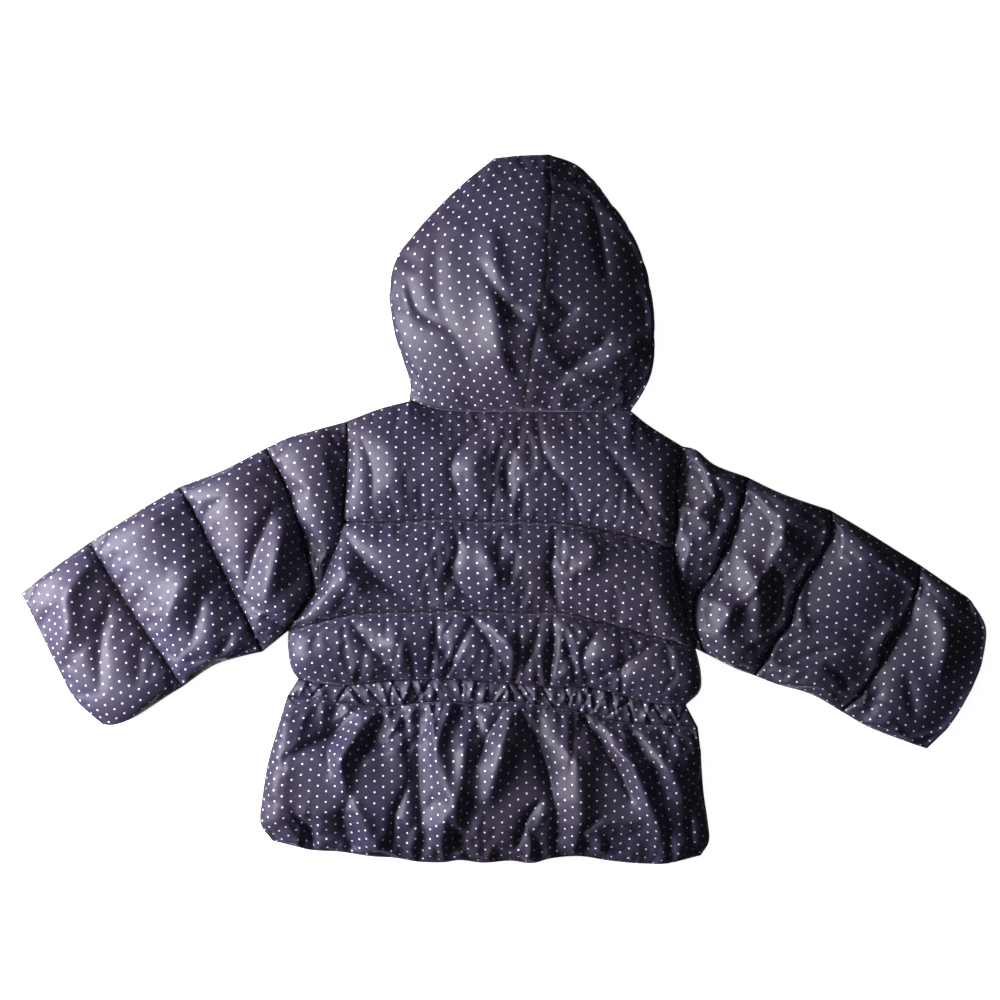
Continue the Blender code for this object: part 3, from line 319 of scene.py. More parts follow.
def addGrid(bm, points, slot=0):
    # a grid of faces through rows of points, given in mm
    rows, columns = points.shape[:2]
    verts = [[bm.verts.new(point) for point in row] for row in points * mm]
    for row in range(rows - 1):
        for column in range(columns - 1):
            here, below = verts[row], verts[row + 1]
            face = bm.faces.new((here[column], below[column], below[column + 1], here[column + 1]))
            face.material_index = slot
            face.smooth = True
    return verts


def newObject(name, bm):
    mesh = bpy.data.meshes.new(name)
    bm.to_mesh(mesh)
    bm.free()
    made = bpy.data.objects.new(name, mesh)
    bpy.context.scene.collection.objects.link(made)
    return made


def onlySelect(made):
    bpy.ops.object.select_all(action="DESELECT")
    made.select_set(True)
    bpy.context.view_layer.objects.active = made


def applyModifier(made, kind, **settings):
    onlySelect(made)
    modifier = made.modifiers.new(kind.lower(), kind)
    for key, value in settings.items():
        setattr(modifier, key, value)
    bpy.ops.object.modifier_apply(modifier=modifier.name)


def readAll(items, key, width):
    values = np.empty(len(items) * width, np.float32)
    items.foreach_get(key, values)
    return values.reshape(-1, width).astype(float)


# painted seam shade: how wide the darkening runs beside a seam or stitched row, and the sample spacing along
# it; it stands in for the shadow in the groove
paintedSeamShade = {"width": 1.5, "each": 0.7}  # mm, the dark line that shows along a seam or a row of stitches


def paintSeamShade(made, lines):
    # marks the cloth beside these lines, where the material paints the shade that falls in a seam's groove
    samples = []
    for line in lines:
        count = int(lineLength(line) / paintedSeamShade["each"]) + 2
        samples.append(alongLine(line, np.linspace(0, 1, count)))
    samples = np.vstack(samples)
    tree = KDTree(len(samples))
    for index, point in enumerate(samples):
        tree.insert(point, index)
    tree.balance()
    away = np.array([tree.find(vert.co / mm)[2] for vert in made.data.vertices])
    mark = made.data.attributes.new("paintedSeamShade", "FLOAT", "POINT")
    mark.data.foreach_set("value", np.exp(-((away / paintedSeamShade["width"]) ** 2)).astype(np.float32))


slackCloth = {"quality": 5, "mass": 0.05, "tension": 15, "shear": 5, "bending": 5.0, "frames": 12}


def swell(points, cloth, rows=()):
    # pressure blows the slack cloth up between its edges and stitched rows; the move is capped
    held = np.zeros(points.shape[:2], bool)
    held[[0, -1, *rows]] = held[:, [0, -1]] = True
    bm = bmesh.new()
    addGrid(bm, points)
    sheet = newObject("slackCloth", bm)
    group = sheet.vertex_groups.new(name="held")
    group.add([int(index) for index in np.flatnonzero(held)], 1.0, "REPLACE")
    modifier = sheet.modifiers.new("cloth", "CLOTH")
    settings = modifier.settings
    settings.quality = slackCloth["quality"]
    settings.mass = slackCloth["mass"]
    settings.tension_stiffness = settings.compression_stiffness = slackCloth["tension"]
    settings.shear_stiffness = slackCloth["shear"]
    settings.bending_stiffness = slackCloth["bending"]
    settings.use_pressure = True
    settings.uniform_pressure_force = cloth["pressure"]
    settings.shrink_min = -cloth["slack"]
    settings.vertex_group_mass = "held"
    settings.effector_weights.gravity = 0
    modifier.collision_settings.use_collision = False
    modifier.point_cache.frame_start = 1
    modifier.point_cache.frame_end = slackCloth["frames"]
    for number in range(1, slackCloth["frames"] + 1):
        bpy.context.scene.frame_set(number)
    settled = sheet.evaluated_get(bpy.context.evaluated_depsgraph_get()).data
    shift = readAll(settled.vertices, "co", 3).reshape(points.shape) / mm - points
    far = np.linalg.norm(shift, axis=-1, keepdims=True)
    bpy.data.objects.remove(sheet, do_unlink=True)
    bpy.context.scene.frame_set(1)
    return points + shift * np.minimum(1, cloth["cap"] / np.maximum(far, 1e-6))


def layDots(made, side, ease=(1.0, 1.0), tilt=0.0, seamEdges=()):
    # unwraps the outer cloth, then turns and sizes the map to read in metres, its columns up the coat
    onlySelect(made)
    mesh = made.data
    if seamEdges:
        for edge in mesh.edges:
            edge.use_seam = frozenset(edge.vertices) in seamEdges
    bpy.ops.object.mode_set(mode="EDIT")
    bpy.ops.mesh.select_all(action="SELECT")
    bpy.ops.uv.unwrap(method="MINIMUM_STRETCH", margin=0.0)
    bpy.ops.object.mode_set(mode="OBJECT")
    mesh = made.data
    uv = readAll(mesh.uv_layers[0].data, "uv", 2)
    corner = np.empty(len(mesh.loops), np.int32)
    mesh.loops.foreach_get("vertex_index", corner)
    place = readAll(mesh.vertices, "co", 3)[corner]
    quads = np.arange(len(corner)).reshape(-1, 4)
    uvArea = np.abs(np.cross(uv[quads[:, 2]] - uv[quads[:, 0]], uv[quads[:, 3]] - uv[quads[:, 1]])) / 2
    faceCross = np.cross(place[quads[:, 2]] - place[quads[:, 0]], place[quads[:, 3]] - place[quads[:, 1]]) / 2
    area = np.linalg.norm(faceCross, axis=1)
    uv *= math.sqrt(area.sum() / uvArea.sum())
    # the faces that look up, or down on the front, say which way the map lies
    middle = place[quads].mean(axis=1)[:, 2] / mm - coat["parting"]
    facing = ((np.abs(faceCross[:, 2]) > 0.6 * area) & (middle * side > 0)).repeat(4)
    flat, seen = uv[facing], place[facing][:, :2]
    left, _, right = np.linalg.svd((flat - flat.mean(0)).T @ (seen - seen.mean(0)))
    angle = math.radians(tilt)
    lean = np.array([[math.cos(angle), math.sin(angle)], [-math.sin(angle), math.cos(angle)]])
    uv = (uv - flat.mean(0)) @ (left @ right) @ lean * np.array(ease) + seen.mean(0)
    mesh.uv_layers[0].data.foreach_set("uv", uv.astype(np.float32).ravel())


def smoothOnce(made):
    applyModifier(made, "SUBSURF", levels=1, render_levels=1, boundary_smooth="PRESERVE_CORNERS")


def finishPiece(made, replaced, fill):
    # gives a padded piece its cloth, its lining and its place in the frame
    made.data.materials.append(shellFabric)
    made.data.materials.append(liningFabric)
    onlySelect(made)
    bpy.ops.object.shade_smooth_by_angle(angle=math.radians(50))
    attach(made, "coat")
    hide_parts(*replaced)
    print("made", made.name, len(made.data.polygons), "faces")


def outerCloth(name, *grids, welded=True):
    # the shaped outer cloth of a piece, from grids of points that meet
    bm = bmesh.new()
    for grid in grids:
        addGrid(bm, grid)
    if welded:
        bmesh.ops.remove_doubles(bm, verts=bm.verts, dist=1e-7)
    bmesh.ops.recalc_face_normals(bm, faces=bm.faces)
    return newObject(name, bm)


def flatMap(bm, faces):
    # maps cloth straight down, in metres
    layer = bm.loops.layers.uv.verify()
    for face in faces:
        for corner in face.loops:
            corner[layer].uv = corner.vert.co.xy


def closeOnPlane(made, plane):
    # drops the sheet's edge to the inside's plane and fills the inside
    bm = bmesh.new()
    bm.from_mesh(made.data)
    rim = [side for side in bm.edges if side.is_boundary]
    for part in bmesh.ops.extrude_edge_only(bm, edges=rim)["geom"]:
        if isinstance(part, bmesh.types.BMVert):
            part.co.z = plane * mm
        elif isinstance(part, bmesh.types.BMFace):
            part.smooth = True
    rim = [side for side in bm.edges if side.is_boundary]
    inside = bmesh.ops.edgeloop_fill(bm, edges=rim)["faces"]
    for face in inside:
        face.material_index = 1
    flatMap(bm, inside)
    bmesh.ops.recalc_face_normals(bm, faces=bm.faces)
    bm.to_mesh(made.data)
    bm.free()


def joinLining(made, grids, joinRims):
    # adds the plain inner cloth and closes the gap between it and the outer cloth
    bm = bmesh.new()
    bm.from_mesh(made.data)
    outerFaces, outerVerts = set(bm.faces), set(bm.verts)
    for grid in grids:
        addGrid(bm, grid, 1)
    bmesh.ops.remove_doubles(bm, verts=bm.verts, dist=1e-7)
    joinRims(bm, [edge for edge in bm.edges if edge.is_boundary], outerVerts)
    flatMap(bm, [face for face in bm.faces if face not in outerFaces])
    bmesh.ops.recalc_face_normals(bm, faces=bm.faces)
    bm.to_mesh(made.data)
    bm.free()


stitchLines = []  # where thread runs, as rows of points in mm with the side that the thread shows on


def noteStitches(points, side=1):
    stitchLines.append((np.array(points), side))


def paddedPanel(name, outer, plane, replaced, fill, stitched=()):
    # one padded panel: shaped outer cloth, an upright edge at the seams, a plain inside
    made = outerCloth(name, outer, welded=False)
    # painted shade along the panel's edges and stitched rows
    paintSeamShade(made, [outer[0], outer[-1], outer[:, 0], outer[:, -1], *stitched])
    layDots(made, 1 if plane > coat["parting"] else -1)
    smoothOnce(made)
    closeOnPlane(made, plane)
    finishPiece(made, [replaced], fill)


# camera straight above, soft light low from the left, white floor
view = {"place": (-0.0028, 0.0068, 1.909), "lens": 85.0, "sensor": 36.0}
lights = {
    "key": {"place": (-0.84, 0.0, 0.44), "size": (0.55, 0.55), "power": 27.0, "colour": (0.97, 0.96, 1.0)},
    "top": {"place": (-0.2, 0.35, 1.6), "size": (1.0, 1.0), "power": 1.4, "colour": (1.0, 0.98, 0.96)},
    "under": {"place": (0.0, -0.3, -1.3), "size": (1.8, 1.8), "power": 14.0, "colour": (1.0, 1.0, 1.0)},
    "room": 0.055,
}
floor = {"size": 24.0, "colour": (0.93, 0.93, 0.93), "glow": 0.93}


def setStage():
    scene = bpy.context.scene
    scene.view_settings.view_transform = "Standard"
    bpy.ops.object.camera_add(location=view["place"], rotation=(0, 0, 0))
    camera = bpy.context.object
    camera.name = "cameraAbove"
    camera.data.lens = view["lens"]
    camera.data.sensor_width = view["sensor"]
    camera.data.clip_end = 20
    scene.camera = camera
    for name in ("key", "top", "under"):
        lamp = lights[name]
        turn = (-Vector(lamp["place"])).to_track_quat("-Z", "Y").to_euler()
        bpy.ops.object.light_add(type="AREA", location=lamp["place"], rotation=turn)
        made = bpy.context.object
        made.name = name + "Light"
        made.data.shape = "RECTANGLE"
        made.data.size, made.data.size_y = lamp["size"]
        made.data.energy = lamp["power"]
        made.data.color = lamp["colour"]
    world = bpy.data.worlds.new("softRoom")
    scene.world = world
    world.use_nodes = True
    back = world.node_tree.nodes["Background"]
    back.inputs["Color"].default_value = (1, 1, 1, 1)
    back.inputs["Strength"].default_value = lights["room"]
    bpy.ops.mesh.primitive_plane_add(size=floor["size"], location=(0, 0, -0.0004))
    ground = bpy.context.object
    ground.name = "floor"
    paint, tree, shader = newMaterial("paleFloor")
    shader.inputs["Base Color"].default_value = (*floor["colour"], 1)
    shader.inputs["Roughness"].default_value = 0.9
    shader.inputs["Emission Color"].default_value = (1, 1, 1, 1)
    shader.inputs["Emission Strength"].default_value = floor["glow"]
    # seen from underneath, the floor lets the coat show
    clear = addNode(tree, "BsdfTransparent").outputs[0]
    behind = addNode(tree, "NewGeometry").outputs["Backfacing"]
    oneSided = addNode(tree, "MixShader", {0: behind, 1: shader.outputs[0], 2: clear}).outputs[0]
    tree.links.new(oneSided, tree.nodes["Material Output"].inputs["Surface"])
    ground.data.materials.append(paint)
    ground.visible_diffuse = False
    ground.visible_glossy = False
    ground.visible_shadow = False


# cloth, thread, tape, plastic and metal; lengths in metres
taffeta = {
    "navy": (0.027, 0.025, 0.056, 1), "plum": (0.034, 0.026, 0.053, 1), "dot": (0.80, 0.80, 0.86, 1),
    "columnPeriod": 0.0142, "rowPeriod": 0.0086, "dotRadius": 0.00078, "dotEdge": 0.0002, "dotWander": 0.0006,
    # the seam level below is how much of the cloth's brightness the painted seam shade leaves
    "roughness": 0.54, "dotDuller": 0.12, "seamDuller": 0.35, "seamShadowLevel": 0.02, "specular": 0.4,
    "sheen": 0.28, "sheenRoughness": 0.35, "sheenTint": (0.66, 0.57, 0.85, 1),
    "creaseDepth": 0.0005, "yarn": 0.00042, "yarnDepth": 0.00003, "relief": 0.6,
}
nickel = {
    "dark": (0.36, 0.36, 0.38, 1), "bright": (0.52, 0.51, 0.5, 1), "rough": (0.2, 0.42),
    "brushDepth": 0.00003, "relief": 0.4,
}
smallFinishes = {
    "quiltingThread": {
        # the thread's near-black is partly its own dark colour and partly painted shade of the groove it
        # sinks into
        "grain": 2400.0, "detail": 1.0, "dark": (0.002, 0.002, 0.005, 1), "light": (0.008, 0.008, 0.017, 1),
        "between": (0, 1), "rough": (0.8, 0.95), "specular": 0.1,
    },
    "zipTapeWeave": {
        "grain": 900.0, "detail": 2.0, "dark": (0.008, 0.008, 0.02, 1), "light": (0.03, 0.03, 0.06, 1),
        "between": (0, 1), "rough": (0.65, 0.85), "specular": 0.5,
        "yarn": 0.0007, "depth": 0.00012, "relief": 0.8,
    },
    "mouldedTeeth": {
        "grain": 600.0, "detail": 3.0, "dark": (0.014, 0.014, 0.032, 1), "light": (0.034, 0.034, 0.066, 1),
        "between": (0.2, 0.8), "rough": (0.28, 0.46), "specular": 0.5, "depth": 0.00008, "relief": 0.5,
    },
}


def newMaterial(name):
    material = bpy.data.materials.new(name)
    material.use_nodes = True
    return material, material.node_tree, material.node_tree.nodes["Principled BSDF"]


def addNode(tree, kind, inputs=None, **settings):
    # one node with its settings and inputs; an input is a value or another node's output
    node = tree.nodes.new("ShaderNode" + kind)
    for key, value in settings.items():
        setattr(node, key, value)
    for key, value in (inputs or {}).items():
        if isinstance(value, bpy.types.NodeSocket):
            tree.links.new(value, node.inputs[key])
        else:
            node.inputs[key].default_value = value
    return node


def calc(tree, operation, first, second):
    return addNode(tree, "Math", {0: first, 1: second}, operation=operation).outputs[0]


def vectorCalc(tree, operation, inputs):
    return addNode(tree, "VectorMath", inputs, operation=operation).outputs[0]


def noise(tree, place, scale, detail=1.0, distortion=0.0):
    inputs = {"Vector": place, "Scale": scale, "Detail": detail, "Distortion": distortion}
    return addNode(tree, "TexNoise", inputs).outputs[0]


def mixColours(tree, factor, first, second):
    return addNode(tree, "Mix", {0: factor, 6: first, 7: second}, data_type="RGBA").outputs[2]


def rangeOf(tree, value, low, high, toLow, toHigh, smooth=False):
    kind = "SMOOTHSTEP" if smooth else "LINEAR"
    levels = {0: value, 1: low, 2: high, 3: toLow, 4: toHigh}
    return addNode(tree, "MapRange", levels, interpolation_type=kind).outputs[0]


def weaveHeight(tree, cloth, period, depth):
    # over and under of the yarns, on the piece's own map
    bands = []
    for way in ("X", "Y"):
        inputs = {"Vector": cloth, "Scale": 0.314 / period}
        bands.append(addNode(tree, "TexWave", inputs, wave_type="BANDS", bands_direction=way).outputs[1])
    return calc(tree, "MULTIPLY", calc(tree, "MULTIPLY", *bands), depth)


def dressShader(tree, shader, tone, rough, relief=None, strength=0.0):
    tree.links.new(tone, shader.inputs["Base Color"])
    tree.links.new(rough, shader.inputs["Roughness"])
    if relief is not None:
        bump = addNode(tree, "Bump", {"Height": relief, "Strength": strength, "Distance": 1.0})
        tree.links.new(bump.outputs[0], shader.inputs["Normal"])


def dotMask(tree, cloth):
    # 1 on a printed dot; two sets of cells, half a cell apart, give the staggered rows
    period = (taffeta["columnPeriod"], taffeta["rowPeriod"], 1.0)
    half = (period[0] / 2, period[1] / 2, 0.0)
    wander = addNode(tree, "TexNoise", {"Vector": cloth, "Scale": 160.0, "Detail": 0.0}).outputs[1]
    shaken = vectorCalc(tree, "SCALE", {0: wander, 3: taffeta["dotWander"]})
    start = vectorCalc(tree, "ADD", {0: cloth, 1: shaken})
    away = []
    for offset in ((0, 0, 0), half):
        moved = vectorCalc(tree, "ADD", {0: start, 1: offset})
        cell = vectorCalc(tree, "WRAP", {0: moved, 1: period, 2: (0, 0, -1)})
        flatCell = vectorCalc(tree, "MULTIPLY", {0: cell, 1: (1, 1, 0)})
        centred = vectorCalc(tree, "SUBTRACT", {0: flatCell, 1: half})
        away.append(addNode(tree, "VectorMath", {0: centred}, operation="LENGTH").outputs[1])
    edge, radius = taffeta["dotEdge"], taffeta["dotRadius"]
    return rangeOf(tree, calc(tree, "MINIMUM", *away), radius - edge, radius + edge, 1.0, 0.0, True)


def makeTaffeta(name, dotted):
    # navy cloth with plum patches, partly its own tone and partly painted sheen, and a fine weave; painted
    # shade darkens it along its seams, which are duller too
    material, tree, shader = newMaterial(name)
    cloth = addNode(tree, "UVMap").outputs[0]
    place = addNode(tree, "TexCoord").outputs["Object"]
    # plum patches over the navy: partly the shot taffeta's own tone, partly painted sheen
    toneAndSheenPatches = rangeOf(tree, noise(tree, place, 13.0, 2.0), 0.42, 0.62, 0.0, 1.0, True)
    grain = noise(tree, place, 700.0)
    shade = rangeOf(tree, grain, 0.3, 0.7, 0.86, 1.12)
    tone = vectorCalc(tree, "SCALE", {0: mixColours(tree, toneAndSheenPatches, taffeta["navy"], taffeta["plum"]), 3: shade})
    rough = rangeOf(tree, grain, 0.3, 0.7, taffeta["roughness"] - 0.03, taffeta["roughness"] + 0.04)
    if dotted:
        printed = dotMask(tree, cloth)
        tone = mixColours(tree, printed, tone, taffeta["dot"])
        rough = calc(tree, "ADD", rough, rangeOf(tree, printed, 0, 1, 0, taffeta["dotDuller"]))
    # painted shade beside each seam and stitched row, where shadow falls in the groove; the cloth is duller
    # there too
    seamShadowMask = addNode(tree, "Attribute", attribute_name="paintedSeamShade").outputs["Fac"]
    tone = vectorCalc(tree, "SCALE", {0: tone, 3: rangeOf(tree, seamShadowMask, 0, 1, 1.0, taffeta["seamShadowLevel"])})
    rough = calc(tree, "ADD", rough, rangeOf(tree, seamShadowMask, 0, 1, 0, taffeta["seamDuller"]))
    creases = calc(tree, "MULTIPLY", noise(tree, place, 95.0, 3.0, 0.4), taffeta["creaseDepth"])
    weave = weaveHeight(tree, cloth, taffeta["yarn"], taffeta["yarnDepth"])
    dressShader(tree, shader, tone, rough, calc(tree, "ADD", creases, weave), taffeta["relief"])
    shader.inputs["Sheen Weight"].default_value = taffeta["sheen"]
    shader.inputs["Sheen Roughness"].default_value = taffeta["sheenRoughness"]
    shader.inputs["Sheen Tint"].default_value = taffeta["sheenTint"]
    shader.inputs["Specular IOR Level"].default_value = taffeta["specular"]
    return material


def makeSmallFinish(name):
    # thread, woven tape or moulded plastic, each with its own fine marks
    own = smallFinishes[name]
    material, tree, shader = newMaterial(name)
    woven = "yarn" in own
    place = addNode(tree, "UVMap").outputs[0] if woven else addNode(tree, "TexCoord").outputs["Object"]
    marks = noise(tree, place, own["grain"], own["detail"])
    relief = None
    if woven:
        relief = weaveHeight(tree, place, own["yarn"], own["depth"])
    elif "depth" in own:
        relief = calc(tree, "MULTIPLY", marks, own["depth"])
    tone = mixColours(tree, marks, own["dark"], own["light"])
    rough = rangeOf(tree, marks, *own["between"], *own["rough"])
    dressShader(tree, shader, tone, rough, relief, own.get("relief", 0.0))
    shader.inputs["Specular IOR Level"].default_value = own["specular"]
    return material


def makeMetal():
    # brushed nickel, duller where fingers rub it
    material, tree, shader = newMaterial("brushedNickel")
    place = addNode(tree, "TexCoord").outputs["Object"]
    drawn = addNode(tree, "Mapping", {"Vector": place, "Scale": (1.0, 0.08, 1.0)}).outputs[0]
    brush = noise(tree, drawn, 3200.0, 2.0)
    rub = noise(tree, place, 220.0, 3.0)
    rough = rangeOf(tree, calc(tree, "MULTIPLY", brush, rub), 0.1, 0.5, *nickel["rough"])
    tone = mixColours(tree, rub, nickel["dark"], nickel["bright"])
    relief = calc(tree, "MULTIPLY", brush, nickel["brushDepth"])
    dressShader(tree, shader, tone, rough, relief, nickel["relief"])
    shader.inputs["Metallic"].default_value = 1.0
    return material


setStage()
shellFabric = makeTaffeta("dottedTaffeta", True)
liningFabric = makeTaffeta("plainTaffeta", False)
threadFinish, tapeFinish, teethFinish = (makeSmallFinish(name) for name in smallFinishes)
metalFinish = makeMetal()
print("stage and finishes ready")


# back of the coat: three quilted channels of the bodice
bodiceFolds = (
    (-3, 5, ((28, 75), (30, 51), (40, 31), (56, 11), (60, -7))),
    (-4, 5.5, ((-6, 73), (-25, 59), (-41, 35), (-37, 13), (-28, -3))),
    (3.5, 7, ((8, 71), (-11, 55), (-24, 35), (-20, 13), (-14, -1))),
    (3, 9, ((-99, 59), (-87, 39), (-85, -3))),
    (-3, 6, ((-112, 55), (-104, 31), (-104, 3))),
    (-3, 5.5, ((16, 55), (2, 35), (4, 11))),
    (-4.5, 6.5, ((82, 47), (100, 21), (116, -6), (122, -17))),
    (-2.5, 4.5, ((110, 9), (134, -16))),
    (-6.5, 7, ((-127, -19), (-115, -36), (-99, -56), (-83, -68), (-59, -78))),
    (4, 6, ((-131, -38), (-121, -59), (-107, -74))),
    (-4.5, 6, ((-40, -12), (-36, -32), (-40, -51), (-32, -67), (-21, -80))),
    (3.5, 6, ((-17, -29), (-10, -48), (-8, -59), (-12, -71))),
    (-4.5, 5.5, ((40, -16), (40, -36), (38, -52), (44, -84))),
    (3.5, 6.5, ((55, -17), (70, -29), (68, -43), (54, -54))),
    (-4, 6, ((-121, -91), (-105, -110), (-92, -124), (-95, -134))),
    (3, 7, ((-89, -92), (-83, -113), (-84, -136))),
    (-3, 5.5, ((-53, -88), (-52, -108), (-41, -124))),
    (-4, 6, ((-28, -84), (-12, -104), (0, -122))),
    (3.5, 5.5, ((-6, -97), (7, -113), (8, -128))),
    (-3, 5.5, ((30, -90), (24, -109), (16, -128))),
    (-5, 5, ((40, -86), (39, -113), (36, -138))),
    (-3.5, 4.5, ((48, -102), (55, -121), (58, -138))),
    (-4, 5.5, ((76, -96), (64, -118), (68, -140))),
    (-3.5, 5.5, ((122, -106), (101, -121), (76, -136))),
)
backBodice = {
    "columns": (32, 98, 32), "rows": (54, 43, 34),
    "puffs": (15.0, 15.0, 15.5, 14.5, 12.0), "arch": 0.6, "fullWidth": 45.0,
    "levels": (0.0, 5.0, 5.0, 1.6),  # the neck, both quilting lines and the waist
    "sideRounding": 20.0, "lowest": 1.2, "foldStrength": (1.0, 1.5, 1.9),
    "cloth": {"pressure": 20, "slack": 0.015, "cap": 5.0},
    "pucker": {
        "spacing": (5, 12), "height": (-0.9, 1.3), "reach": (6, 15), "width": (1.6, 3.0), "slant": 0.5,
    },
    "waistPucker": {
        "spacing": (7, 19), "height": (-6.5, 2.0), "reach": (14, 50), "width": (1.3, 2.8), "slant": 0.45,
    },
    "crinkle": {
        "each100Square": 2.5, "heading": 80, "turn": 35,
        "length": (14, 40), "width": (2.5, 5), "height": (0.3, 1.1),
    },
    "trough": {"depth": 3.2, "width": 1.7}, "fill": 0.55, "seeds": {"crinkle": 3, "pucker": 10},
}


def makeBackBodice():
    own = backBodice
    top = np.vstack([
        alongLine(curveThrough(line), np.linspace(0, 1, count + 1))[:-1]
        for line, count in zip((shoulderLeft, neckBack, shoulderRight), own["columns"])
    ] + [shoulderRight[-1:]])
    across = lengthShares(top)
    lines = [top] + [alongLine(curveThrough(line), across) for line in (quiltUpper, quiltLower, casingUpper)]
    plan, place, width = quiltPlan(
        lines, (armholeLeftUpper, armholeLeftLower, sideLeft),
        (armholeRightUpper, armholeRightLower, sideRight), across, own["rows"],
    )
    plan = seamGapRound(plan)
    arch = np.abs(np.sin(np.pi * place))
    puff = np.interp(place, (0, 0.5, 1.5, 2.5, 3), own["puffs"]) * arch ** own["arch"]
    raised = np.interp(place, (0, 1, 2, 3), own["levels"])
    edge = roundEdge(sideDistance(plan), own["sideRounding"])
    body = raised[:, None] + puff[:, None] * np.minimum(1, width / own["fullWidth"]) ** 0.7
    quilts = [np.argmin(np.abs(place - quilt)) for quilt in (1, 2)]
    points = withHeight(plan, backFloor + coat["seamWall"] + edge * body)
    points = swell(points, own["cloth"], quilts)
    soft = freeShare(arch, edge)
    strength = np.interp(place, (0.6, 1.5, 2.5), own["foldStrength"])[:, None]
    points[..., 2] += soft * strength * foldHeights(plan, bodiceFolds)
    points[..., 2] += soft * crinkleHeights(plan, own["crinkle"], own["seeds"]["crinkle"])
    kinds = [own["pucker"]] * 3 + [own["waistPucker"]]
    for ridges in ridgesBeside(plan, place, lines, kinds, own["seeds"]["pucker"]):
        points[..., 2] += edge * ridges
    for line in lines[1:3]:
        points[..., 2] += stitchTrough(plan, line, own["trough"])
    points[..., 2] = np.maximum(points[..., 2], backFloor + own["lowest"])
    for row in quilts:
        noteStitches(points[row])
    paddedPanel("backBodice", points, backFloor, "back_bodice", own["fill"], points[quilts])


# waist casing drawn up on its elastic
backWaistCasing = {
    "columns": 300, "rows": 18, "puff": 3.0, "sideRounding": 9.0, "depth": 19.0, "lowest": 1.0,
    "crowding": 0.3, "fill": 0.4, "seeds": {"gathers": 5, "tucks": 6},
    "gathers": {"spacing": (4.0, 15.0), "height": (1.4, 4.2), "width": (1.6, 4.2), "slant": 0.7},
    "tucks": {"spacing": (5.0, 16.0), "height": (-3.6, -1.2), "width": (0.9, 2.0), "slant": 0.9},
}


def gatherHeights(plan, line, gather, seed, span):
    # ridges right across a narrow drawn-up band
    draw = np.random.default_rng(seed)
    away, at, length = nearest(plan, line)
    total = np.zeros(plan.shape[:-1])
    place = draw.uniform(0, gather["spacing"][0])
    while place < length:
        height, width = draw.uniform(*gather["height"]), draw.uniform(*gather["width"])
        slant = draw.uniform(-1, 1) * gather["slant"]
        peak = draw.uniform(0.15, 0.85) * span
        reach = draw.uniform(0.45, 1.1) * span
        ridge = np.exp(-np.abs((at - place - slant * (away - span / 2)) / width) ** 1.6)
        total += height * ridge * np.exp(-(((away - peak) / reach) ** 2))
        place += draw.uniform(*gather["spacing"])
    return total


def makeWaistCasing():
    own = backWaistCasing
    across = np.linspace(0, 1, own["columns"] + 1)
    down = crowdEnds(own["rows"], own["crowding"])
    plan = seamGapRound(fillPlan(
        alongLine(curveThrough(casingUpper), across), alongLine(curveThrough(casingLower), across),
        alongLine(np.array(casingSideLeft), down), alongLine(np.array(casingSideRight), down), across, down,
    ))
    arch = np.sin(np.pi * down)[:, None]
    edge = roundEdge(sideDistance(plan), own["sideRounding"])
    wave = 0
    for kind, seed in own["seeds"].items():
        wave = wave + gatherHeights(plan, plan[0], own[kind], seed, own["depth"])
    height = coat["seamWall"] + edge * (own["puff"] * arch**0.6 + wave * (0.35 + 0.65 * arch**0.5))
    points = withHeight(plan, backFloor + np.maximum(height, own["lowest"]))
    noteStitches(points[1])
    noteStitches(points[-2])
    paddedPanel("backWaistCasing", points, backFloor, "back_waist_casing", own["fill"])


# skirt below the waist, gathered at both ends
skirtFolds = (
    (-4.5, 7, ((-121, -162), (-136, -178), (-155, -190), (-171, -198))),
    (6.5, 6.5, ((-104, -161), (-114, -175), (-125, -191), (-128, -203), (-125, -220))),
    (-4, 5.5, ((-127, -172), (-138, -188), (-136, -208))),
    (-4, 5, ((-105, -172), (-104, -184), (-112, -200))),
    (3, 5, ((-82, -165), (-92, -175), (-92, -185))),
    (-5, 9, ((-68, -164), (-67, -201), (-66, -233), (-64, -269))),
    (4.5, 6, ((-54, -171), (-51, -191), (-44, -223), (-41, -234), (-48, -251), (-50, -269))),
    (4.5, 6, ((-20, -165), (-31, -180), (-31, -197), (-35, -232), (-38, -256))),
    (-5.5, 6, ((-39, -254), (-34, -269), (-29, -280))),
    (-4, 5, ((2, -160), (-11, -181), (-22, -205))),
    (6.5, 8, ((7, -163), (-3, -198), (-12, -229))),
    (-7, 8, ((18, -171), (28, -189), (36, -213), (40, -233))),
    (5, 9, ((51, -174), (56, -198), (60, -228), (61, -257))),
    (-6.5, 6, ((60, -163), (68, -173), (81, -193), (92, -209), (101, -229))),
    (5.5, 7, ((76, -168), (100, -203), (113, -232), (122, -255), (124, -273))),
    (-4.5, 6, ((102, -177), (113, -199), (128, -225))),
    (4.5, 7, ((113, -180), (128, -205), (141, -229))),
    (3, 8, ((-171, -163), (-178, -193), (-181, -221), (-179, -245))),
    (-4, 5, ((-165, -240), (-158, -254), (-152, -270))),
    (3.5, 6, ((-117, -235), (-108, -258), (-95, -278))),
    (-3.5, 5.5, ((-123, -233), (-127, -248), (-124, -272))),
    (-3.5, 5, ((-76, -220), (-86, -246), (-89, -273))),
    (-4.5, 5, ((28, -235), (18, -249), (10, -273))),
    (-5, 7, ((42, -236), (43, -257), (42, -276))),
    (-4, 5, ((76, -246), (64, -257), (64, -265), (68, -277))),
    (-3.5, 5, ((149, -209), (146, -241), (149, -269))),
)
